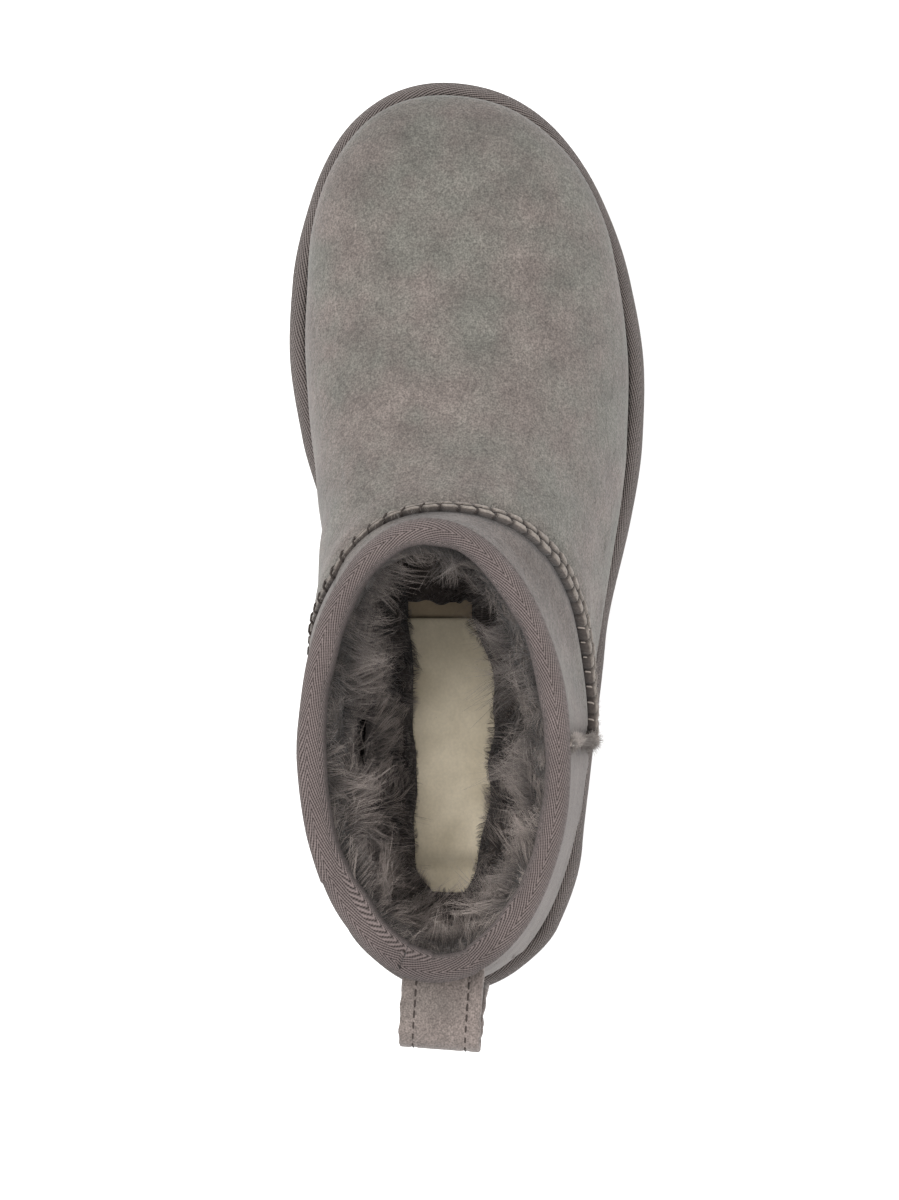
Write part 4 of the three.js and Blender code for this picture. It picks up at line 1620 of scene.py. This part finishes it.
@dataclass
class Tapes:
    """The two herringbone tapes: folded over the rim, and round the edge on the sole."""

    shop: Workshop
    end_at: float = 35.2

    def _finish(
        self, name: str, rows: Array, material: bpy.types.Material, slot_: Slot, node: str
    ) -> None:
        """Turns rows of points into a tape with UVs in whole repeats.

        Args:
            name: the piece's name.
            rows: points from one edge of the tape to the other.
            material: the tape's material.
            slot_: its slot in the record.
            node: the CAD node it replaces.
        """
        made = self.shop.drawing.grid(name, rows, material, loop=True)
        middle = rows[len(rows) // 3]
        around = lengths(np.concatenate([middle, middle[:1]]))
        around *= RIB_REPEAT * round(around[-1] / RIB_REPEAT) / around[-1]
        u = np.broadcast_to(around[:-1], rows.shape[:2])
        across = np.linalg.norm(np.diff(rows, axis=0), axis=-1).mean(1)
        v = np.broadcast_to(np.concatenate([[0], np.cumsum(across)])[:, None], rows.shape[:2])
        self.shop.drawing.uv(made, u, v, around[-1])
        self.shop.drawing.face_outwards(made)
        self.shop.drawing.publish(made, slot_, node)

    def collar(self) -> None:
        """The tape folded over the rim."""
        steps = Steps(60, 70, 120)
        top = Level(1)
        base = top.offset(steps, top.height, 0)
        out = FORM.normal(base) * [1, 1, 0]
        out = unit(out)
        half = RIM / 2 + GAP + TAPE_THICK
        arc = np.linspace(0, math.pi, 15)
        profile = [(GAP + TAPE_THICK, -z) for z in (RIM_DEPTH, 7, 5.5, 4, 2.6)]
        profile += [(-RIM / 2 + half * math.cos(a), -1.8 + 3.2 * math.sin(a)) for a in arc]
        inside = -RIM - GAP
        profile += [(inside - TAPE_THICK, -z) for z in (2.6, 4, 5.5, 7, RIM_DEPTH)]
        profile += [(inside, -RIM_DEPTH), (inside, -2.2), (-RIM - 0.1, 0.35), (0.1, 0.35), (GAP, -2.2)]
        profile += [(GAP, -RIM_DEPTH)]
        rear = (base[:, 1] > 0) & (base[:, 0] >= self.end_at)
        double = np.where(rear, 1 - smooth(self.end_at + 20, self.end_at + 60, base[:, 0]), 0.0)
        wave = lumps(base, 16, 2.0)
        fold = lumps(base, 9, 7.0)
        corner = np.exp(-(((base[:, 0] - 22) / 16) ** 2)) * np.where(base[:, 1] > 0, 1.0, 0.45)
        rows = []
        for distance, rise in profile:
            at = base + out * distance
            outwards = 1.0 if distance > 0 else 0.0
            inwards = 1.0 if distance < inside - 0.2 else 0.0
            layer = double * (0.4 * outwards + 0.3 * (rise > 0)) + wave * 0.35 * outwards
            layer -= (0.5 * wave + 0.5 * fold + 2.2 * corner) * inwards
            shifted = at + out * layer[:, None]
            shifted[:, 2] += rise + 0.4 * double * (rise > 0) + 0.3 * wave * (rise > -1.9)
            rows.append(shifted)
        self._finish("collar_tape_woven", np.stack(rows), self.shop.looks.collar, Slot.TAPE, "collar_tape")

    def sole(self) -> None:
        """The tape-covered edge that lies on the sole all round."""
        steps = Steps(50, 90, 130)
        at = Level(0)
        edge = lambda x, y, z: np.minimum(FORM.outline(x, y), FORM.outside(x, y, z) - BINDING_LEAST)
        ring = lambda rise, f: at.ring(steps, lambda x: FORM.sole_top(x) + rise, f)
        inner = lambda rise: ring(rise, lambda x, y, z: FORM.outside(x, y, z) - GAP)
        arc = np.linspace(0, math.pi / 2, 9)
        rows = [inner(GAP), mix(inner(GAP), ring(GAP, edge), 0.5), ring(GAP, edge), ring(2.0, edge)]
        for a in arc:
            rise = 3.8 + 5.2 * math.sin(a)
            rows.append(mix(inner(rise), ring(rise, edge), math.cos(a) ** 0.8))
        rows += [inner(7.0), inner(4.0)]
        self._finish("sole_edge_woven", np.stack(rows), self.shop.looks.sole_edge, Slot.TAPE, "sole_binding")


@dataclass
class Footbed:
    """The footbed: a brown base and on it the pale cover, which ends straight under the instep."""

    shop: Workshop
    steps: Steps = Steps(24, 60, 60)
    half_width: float = 17.0
    back_end: float = 18.0
    cover: float = 1.3

    def _top(self, x: Array) -> Array:
        """Returns: height of the base's upper face over x."""
        return FORM.sole_top(x) + INSOLE_THICK - self.cover

    def build(self) -> None:
        """Builds the base and the cover."""
        at = Level(0)
        clear = lambda x, y, z: FORM.outside(x, y, z) + FORM.wall(x, z) + INSOLE_CLEAR
        edge = lambda rise: at.ring(self.steps, lambda x: FORM.sole_top(x) + rise, clear)
        low, rim = edge(GAP), edge(INSOLE_THICK - self.cover - 0.6)
        rows = []
        for outer, height in ((low, GAP), (rim, None)):
            centre = outer.copy()
            centre[:, 0] = np.clip(outer[:, 0], 45, 205)
            centre[:, 1] = FORM.outline_middle(centre[:, 0]) * 0.6
            for t in np.linspace(0, 0.999, 14) ** 1.3:
                row = mix(outer, centre, t if t < 0.99 else 1.0)
                lift = 0.6 * smooth(0, 0.08, t)
                row[:, 2] = FORM.sole_top(row[:, 0]) + (height or (INSOLE_THICK - self.cover - 0.6 + lift))
                rows.append(row)
        stacked = np.stack(rows[:14][::-1] + rows[14:])
        base = self.shop.drawing.grid("footbed_base", stacked, self.shop.looks.footbed_base)
        self.shop.drawing.face_outwards(self.shop.drawing.weld(base))
        self.shop.drawing.publish(base, Slot.INSOLE)
        x = np.linspace(self.back_end, STRIP_FRONT, 110)
        section = rounded(1.0, 0.0, 1.0, 0.06, 4)
        fill = np.linspace(-0.44, 0.44, 24)
        top = np.stack([fill[::-1], np.ones(24)], -1)
        section = np.concatenate([section[:4], top, section[4:]])
        y = section[:, 0] * 2 * self.half_width + 0.8 + 0 * x[:, None]
        cup = 1.5 * np.abs(section[:, 0] * 2) ** 3 - 0.25 * np.exp(-(((x[:, None] - 35.5) / 1.5) ** 2))
        worn = 0.25 * lumps(np.stack([x[:, None] + 0 * y, y, 0 * y], -1), 14, 5.0)
        z = self._top(x)[:, None] + 0.25 + section[:, 1] * (self.cover + cup + worn)
        cover = self.shop.drawing.grid(
            "footbed_cover", np.stack([x[:, None] + 0 * y, y, z], -1), self.shop.looks.footbed, ends=True
        )
        self.shop.drawing.face_outwards(cover)
        self.shop.drawing.publish(cover, Slot.INSOLE, "insole")


@dataclass
class Wool:
    """The lining's wool: a soft lumpy bed, and strands on it and on the wall."""

    shop: Workshop
    steps: Steps = Steps(40, 60, 80)
    depth: float = 22.0
    sections: int = 3
    strand_radius: float = 0.08
    curl: float = 0.6
    wall_density: float = 0.9
    wall_sizes: tuple[float, float, float] = (9.5, 7.5, 1.2)
    floor_density: float = 2.1
    floor_sizes: tuple[float, float, float] = (6.0, 5.0, 0.9)
    wall_seed: int = 31
    floor_seed: int = 21

    def _floor_rows(self, count: int) -> Array:
        """Rows of points from the bare strip's edge out to the wall.

        Args:
            count: how many rows.

        Returns: an array of rows, points, coordinates.
        """
        at = Level(0)
        inner_face = lambda x, y, z: FORM.outside(x, y, z) + FORM.wall(x, z) - 1.0
        wall = at.ring(self.steps, lambda x: FORM.sole_top(x) + INSOLE_THICK + 6, inner_face)
        x = np.clip(wall[:, 0], STRIP.x[0], STRIP_FRONT)
        outer, inner = Curve(STRIP.x, STRIP.outer)(x), Curve(STRIP.x, STRIP.inner)(x)
        side = np.clip(wall[:, 1] / 22.0, -1, 1)
        y = np.where(side > 0, inner, -outer) * side
        y += 1.6 * np.sign(side) * lumps(np.stack([x, 0 * x, 0 * x + np.sign(side) * 40], -1), 11, 1.0)
        ahead = smooth(104, 124, wall[:, 0])
        reach = 4.6 + 2.0 * lumps(np.stack([0 * x, wall[:, 1], 0 * x], -1), 9, 4.0)
        start = np.stack([x + reach * ahead, y, 0 * x], -1)
        rows = []
        for t in np.linspace(0, 1, count):
            p = mix(start, wall, t)
            bowl = self.depth * (1 - math.sqrt(1 - min(t, 0.999) ** 2))
            lip = 5.5 * math.sqrt(min(t / 0.22, 1))
            front = 4.2 * math.sqrt(min(t / 0.2, 1)) + 5.0 * t * t
            blend = smooth(96, 126, mix(start[:, 0], wall[:, 0], 0.5))
            p[:, 2] = FORM.sole_top(p[:, 0]) + INSOLE_THICK - 0.6 + mix(bowl + lip, front, blend)
            rows.append(p)
        return np.stack(rows)

    def _wall_rows(self, count: int) -> Array:
        """Rows of points down the wall, from under the tape to the floor.

        Args:
            count: how many rows.

        Returns: an array of rows, points, coordinates.
        """
        top = Level(1)
        inner_face = lambda x, y, z: FORM.outside(x, y, z) + FORM.wall(x, z) - 0.8
        drops = np.linspace(7.0, 80.0, count)
        return np.stack([top.ring(self.steps, lambda x, d=d: top.height(x) - d, inner_face) for d in drops])

    def _bed(self, name: str, rows: Array, columns: Array, thick: Array, long: Array) -> bpy.types.Object:
        """An emitter from some columns of a grid, facing the inside of the boot.

        Args:
            name: the emitter's name.
            rows: the grid.
            columns: numbers of the columns.
            thick: share of the density, for each point.
            long: share of the length, for each point.

        Returns: the emitter.
        """
        part = rows[:, columns]
        count, n = part.shape[:2]
        r, i = np.arange(count - 1)[:, None], np.arange(n - 1)[None, :]
        a = r * n + i
        faces = np.stack([a, a + 1, a + n + 1, a + n], -1).reshape(-1, 4)
        made = self.shop.drawing.object(name, part, faces, self.shop.looks.wool)
        self.shop.drawing.store(made, "thick", thick[:, columns].ravel())
        self.shop.drawing.store(made, "long", long[:, columns].ravel())
        middle = made.data.polygons[len(faces) // 2]
        aim = Vector(self.shop.drawing.place(np.array([LEG_CENTRE, 0.0, 90.0]))) - middle.center
        if middle.normal.dot(aim) < 0:
            made.data.flip_normals()
        return made

    def _grow(self, name: str, bed: bpy.types.Object, density: float, sizes: tuple, seed: int) -> None:
        """Grows strands on a bed and registers them.

        Args:
            name: the piece's name.
            bed: the emitter, used up.
            density: strands on a square millimetre.
            sizes: length, width of a lock, and lean.
            seed: of the scatter.
        """
        length, clump, lean = sizes
        values = {"Density": density * 1e6, "Length": length * MM, "Lean": lean, "Clump": clump * MM}
        values |= {"Radius": self.strand_radius * MM, "Curl": self.curl, "Seed": seed}
        values |= {"Material": self.shop.looks.wool}
        made = self.shop.generators.bake(bed, self.shop.generators.strands, name, values)
        self.shop.drawing.publish(made, Slot.SUEDE)

    def build(self) -> None:
        """Builds the bed over the footbed and all the strands."""
        floor = self._floor_rows(34)
        lumped = floor.copy()
        swell = 1.3 * lumps(floor, 9, 6.0) + 0.8 * lumps(floor, 4.5, 2.0)
        lumped[..., 2] += swell * np.linspace(0.2, 1, 34)[:, None]
        under = lumped[::-1].copy()
        under[..., 2] -= 1.6
        rows = np.concatenate([lumped, under])
        made = self.shop.drawing.grid("wool_floor", rows, self.shop.looks.wool_skin, loop=True)
        self.shop.drawing.face_outwards(made)
        self.shop.drawing.publish(made, Slot.SUEDE)
        share = np.linspace(0, 1, 34)[:, None]
        in_sight = np.where(floor[..., 0] < 128, 1.0, 0.03)
        fringe = np.where(floor[..., 1] < 0, 0.3, 0.25)
        short = mix(fringe, 1.0, smooth(0, 0.3, share))
        wall = self._wall_rows(24)
        drop = np.linspace(0, 1, len(wall))[:, None]
        thick = mix(1.0, 0.4, drop) * np.where(wall[..., 2] < 40, 0.5, 1.0)
        long = mix(0.7, 1.1, smooth(0, 0.3, drop)) * np.ones(wall.shape[:2])
        swell = 2.2 * lumps(wall, 13, 3.0) + 1.1 * lumps(wall, 6, 8.0)
        out = FORM.normal(wall.reshape(-1, 3)).reshape(wall.shape)
        wall = wall - out * (swell * smooth(0, 0.2, drop))[..., None]
        out = FORM.normal(wall.reshape(-1, 3)).reshape(wall.shape)
        back = wall - out * -1.5
        made = self.shop.drawing.grid(
            "wool_wall", np.concatenate([wall, back[::-1]]), self.shop.looks.wool_skin, loop=True
        )
        self.shop.drawing.face_outwards(made)
        self.shop.drawing.publish(made, Slot.SUEDE)
        n = wall.shape[1]
        for k in range(self.sections):
            columns = np.arange(k * n // self.sections, (k + 1) * n // self.sections + 1) % n
            bed = self._bed(f"wall_bed_{k}", wall, columns, thick, long)
            self._grow(f"wool_wall_{k}", bed, self.wall_density, self.wall_sizes, self.wall_seed + k)
        for k in range(2):
            columns = np.arange(k * n // 2, (k + 1) * n // 2 + 1) % n
            bed = self._bed(f"floor_bed_{k}", lumped, columns, in_sight, short)
            self._grow(f"wool_floor_{k}", bed, self.floor_density, self.floor_sizes, self.floor_seed + k)


@dataclass
class PullLoop:
    """The doubled strip of suede at the heel, with a line of stitches along each edge."""

    shop: Workshop
    width: float = 22.0
    thick: float = 2.6
    yaw: float = 4.0
    side: float = -2.6
    stitch_in: float = 3.9
    stitch_pitch: float = 2.6

    def _path(self) -> Array:
        """Returns: points along the strip's middle."""
        knots = [(15, 108.8), (6, 110.2), (-3, 110.2), (-8.8, 107.6), (-9.6, 102.4)]
        knots += [(-5.2, 96.6), (1.6, 91.6), (4.8, 86), (5.2, 79)]
        knots = np.array([(x, 0.0, z) for x, z in knots])
        t = np.arange(len(knots))
        fine = np.linspace(0, len(knots) - 1, 200)
        return np.stack([Curve(t, knots[:, c])(fine) for c in range(3)], -1)

    def _turned(self, p: Array) -> Array:
        """Turns and shifts points as the loop sits on the heel.

        Args:
            p: points.

        Returns: the moved points.
        """
        a = math.radians(-self.yaw)
        x, y = p[..., 0] - 10, p[..., 1]
        made = p.copy()
        made[..., 0] = 10 + x * math.cos(a) - y * math.sin(a)
        made[..., 1] = x * math.sin(a) + y * math.cos(a) + self.side
        return made

    def build(self) -> None:
        """Builds the strip, its stitches and its rough edges."""
        path, _ = evenly(self._path(), 0.6)
        along = unit(np.gradient(path, axis=0))
        up = np.cross(along, np.array([0.0, 1.0, 0.0]))
        up = up * np.where(up[:1, 2:] < 0, -1, 1)
        edge = [np.linspace(-1, -0.94, 4), np.linspace(-0.9, 0.9, 30), np.linspace(0.94, 1, 4)]
        edge = np.concatenate(edge)
        half = self.thick / 2
        belly = half * (1 - np.maximum((np.abs(edge) - 0.93) / 0.07, 0) ** 2 * 0.55)
        belly -= 0.35 * np.exp(-(((np.abs(edge) * self.width / 2 - 7.1) / 0.7) ** 2))
        across = edge * self.width / 2
        top, bottom = np.stack([across, belly], -1), np.stack([across, -belly], -1)[::-1]
        rows = sweep(path, up, np.concatenate([top, bottom]))
        ragged = np.abs(rows[..., 1]) > self.width / 2 - 1
        rows[..., 1] += ragged * lumps(rows, 2.5, 3.0) * 0.45
        made = self.shop.drawing.grid("pull_loop_suede", self._turned(rows), self.shop.looks.loop, ends=True)
        self.shop.drawing.face_outwards(made)
        self.shop.drawing.publish(made, Slot.SUEDE, "pull_loop")
        bend = [(-0.85, 0, -0.15), (-0.4, 0, 0.12), (0.4, 0, 0.12), (0.85, 0, -0.15)]
        stitch = self.shop.thread("loop_stitch", bend, THREAD_RADIUS)
        dots, _ = evenly(path[8:], self.stitch_pitch)
        out = np.cross(unit(np.gradient(dots, axis=0)), np.array([0.0, 1.0, 0.0]))
        out = out * np.where(out[:1, 2:] < 0, -1, 1)
        for name, y in (("outer", -1), ("inner", 1)):
            line = dots + out * (half - 0.3) + np.array([0, y * (self.width / 2 - self.stitch_in), 0])
            line = self._turned(line)
            dark = self.shop.looks.dark_thread
            made = self.shop.along(f"loop_stitches_{name}", line, out, stitch, dark)
            self.shop.drawing.publish(made, Slot.SUEDE)


@dataclass
class Sole:
    """The moulded sole, shown as it was designed."""

    shop: Workshop

    def build(self) -> None:
        """Gives the CAD solid its foam material."""
        node = bpy.data.objects["outsole"]
        for slot in node.material_slots:
            slot.material = self.shop.looks.foam


@dataclass
class Studio:
    """Camera, floor and light."""

    looks: Looks
    drawing: Drawing
    aim: tuple[float, float, float] = (112.0, 0.0, 0.0)
    distance: float = 1378.0
    to_outer_side: float = 0.0597
    to_heel: float = 0.0186
    lens: float = 140.6
    shift: tuple[float, float] = (-0.0076, 0.0037)
    key_power: float = 36.0
    fill_power: float = 22.0
    surround: float = 1.1
    floor_half: float = 4.0

    def camera(self) -> None:
        """Looks down on the boot with the toe up in the frame."""
        data = bpy.data.cameras.new("camera")
        data.lens, data.sensor_width = self.lens, 36.0
        data.shift_x, data.shift_y = self.shift
        back = Vector((-self.to_heel, -self.to_outer_side, 0))
        back.z = math.sqrt(1 - back.length_squared)
        right = Vector((0, -1, 0))
        right = (right - back * right.dot(back)).normalized()
        up = back.cross(right)
        turn = Matrix((right, up, back)).transposed().to_4x4()
        camera = bpy.data.objects.new("camera", data)
        at = Vector(self.drawing.place(np.array(self.aim))) + back * (self.distance * MM)
        camera.matrix_world = Matrix.Translation(at) @ turn
        bpy.context.collection.objects.link(camera)
        bpy.context.scene.camera = camera

    def _lamp(self, name: str, at: tuple[float, float, float], size: float, power: float) -> None:
        """Adds a square lamp that faces the boot.

        Args:
            name: the lamp's name.
            at: its place in metres.
            size: its width in metres.
            power: in watts.
        """
        data = bpy.data.lights.new(name, "AREA")
        data.energy, data.size = power, size
        lamp = bpy.data.objects.new(name, data)
        lamp.location = at
        lamp.rotation_euler = (-Vector(at)).to_track_quat("-Z", "Y").to_euler()
        bpy.context.collection.objects.link(lamp)

    def build(self) -> None:
        """Pale floor and soft light."""
        floor = bpy.data.meshes.new("floor")
        s = self.floor_half
        floor.from_pydata([(-s, -s, 0), (s, -s, 0), (s, s, 0), (-s, s, 0)], [], [(0, 1, 2, 3)])
        floor.materials.append(self.looks.floor)
        ground = bpy.data.objects.new("floor", floor)
        bpy.context.collection.objects.link(ground)
        self._lamp("key", (0.5, 0.7, 1.6), 1.2, self.key_power)
        self._lamp("fill", (-0.6, -0.9, 1.3), 1.6, self.fill_power)
        bpy.context.scene.view_settings.view_transform = "Standard"
        world = bpy.data.worlds.new("studio")
        bpy.context.scene.world = world
        world.use_nodes = True
        g = Graph(world.node_tree)
        shade = g.add("ShaderNodeBackground", None, {"Color": (1.0, 1.0, 1.0), "Strength": self.surround})
        g.add("ShaderNodeOutputWorld", None, {"Surface": shade})


def main() -> None:
    """Builds the boot, piece by piece."""
    logging.basicConfig(level=logging.INFO, format="%(name)s %(message)s")
    drawing, looks = Drawing(), Looks()
    studio = Studio(looks, drawing)
    studio.camera()
    studio.build()
    shop = Workshop(drawing, looks, Generators())
    Sole(shop).build()
    Upper(shop).build()
    Seams(shop).build()
    tapes = Tapes(shop)
    tapes.collar()
    tapes.sole()
    Footbed(shop).build()
    Wool(shop).build()
    PullLoop(shop).build()


if __name__ == "__main__":
    main()
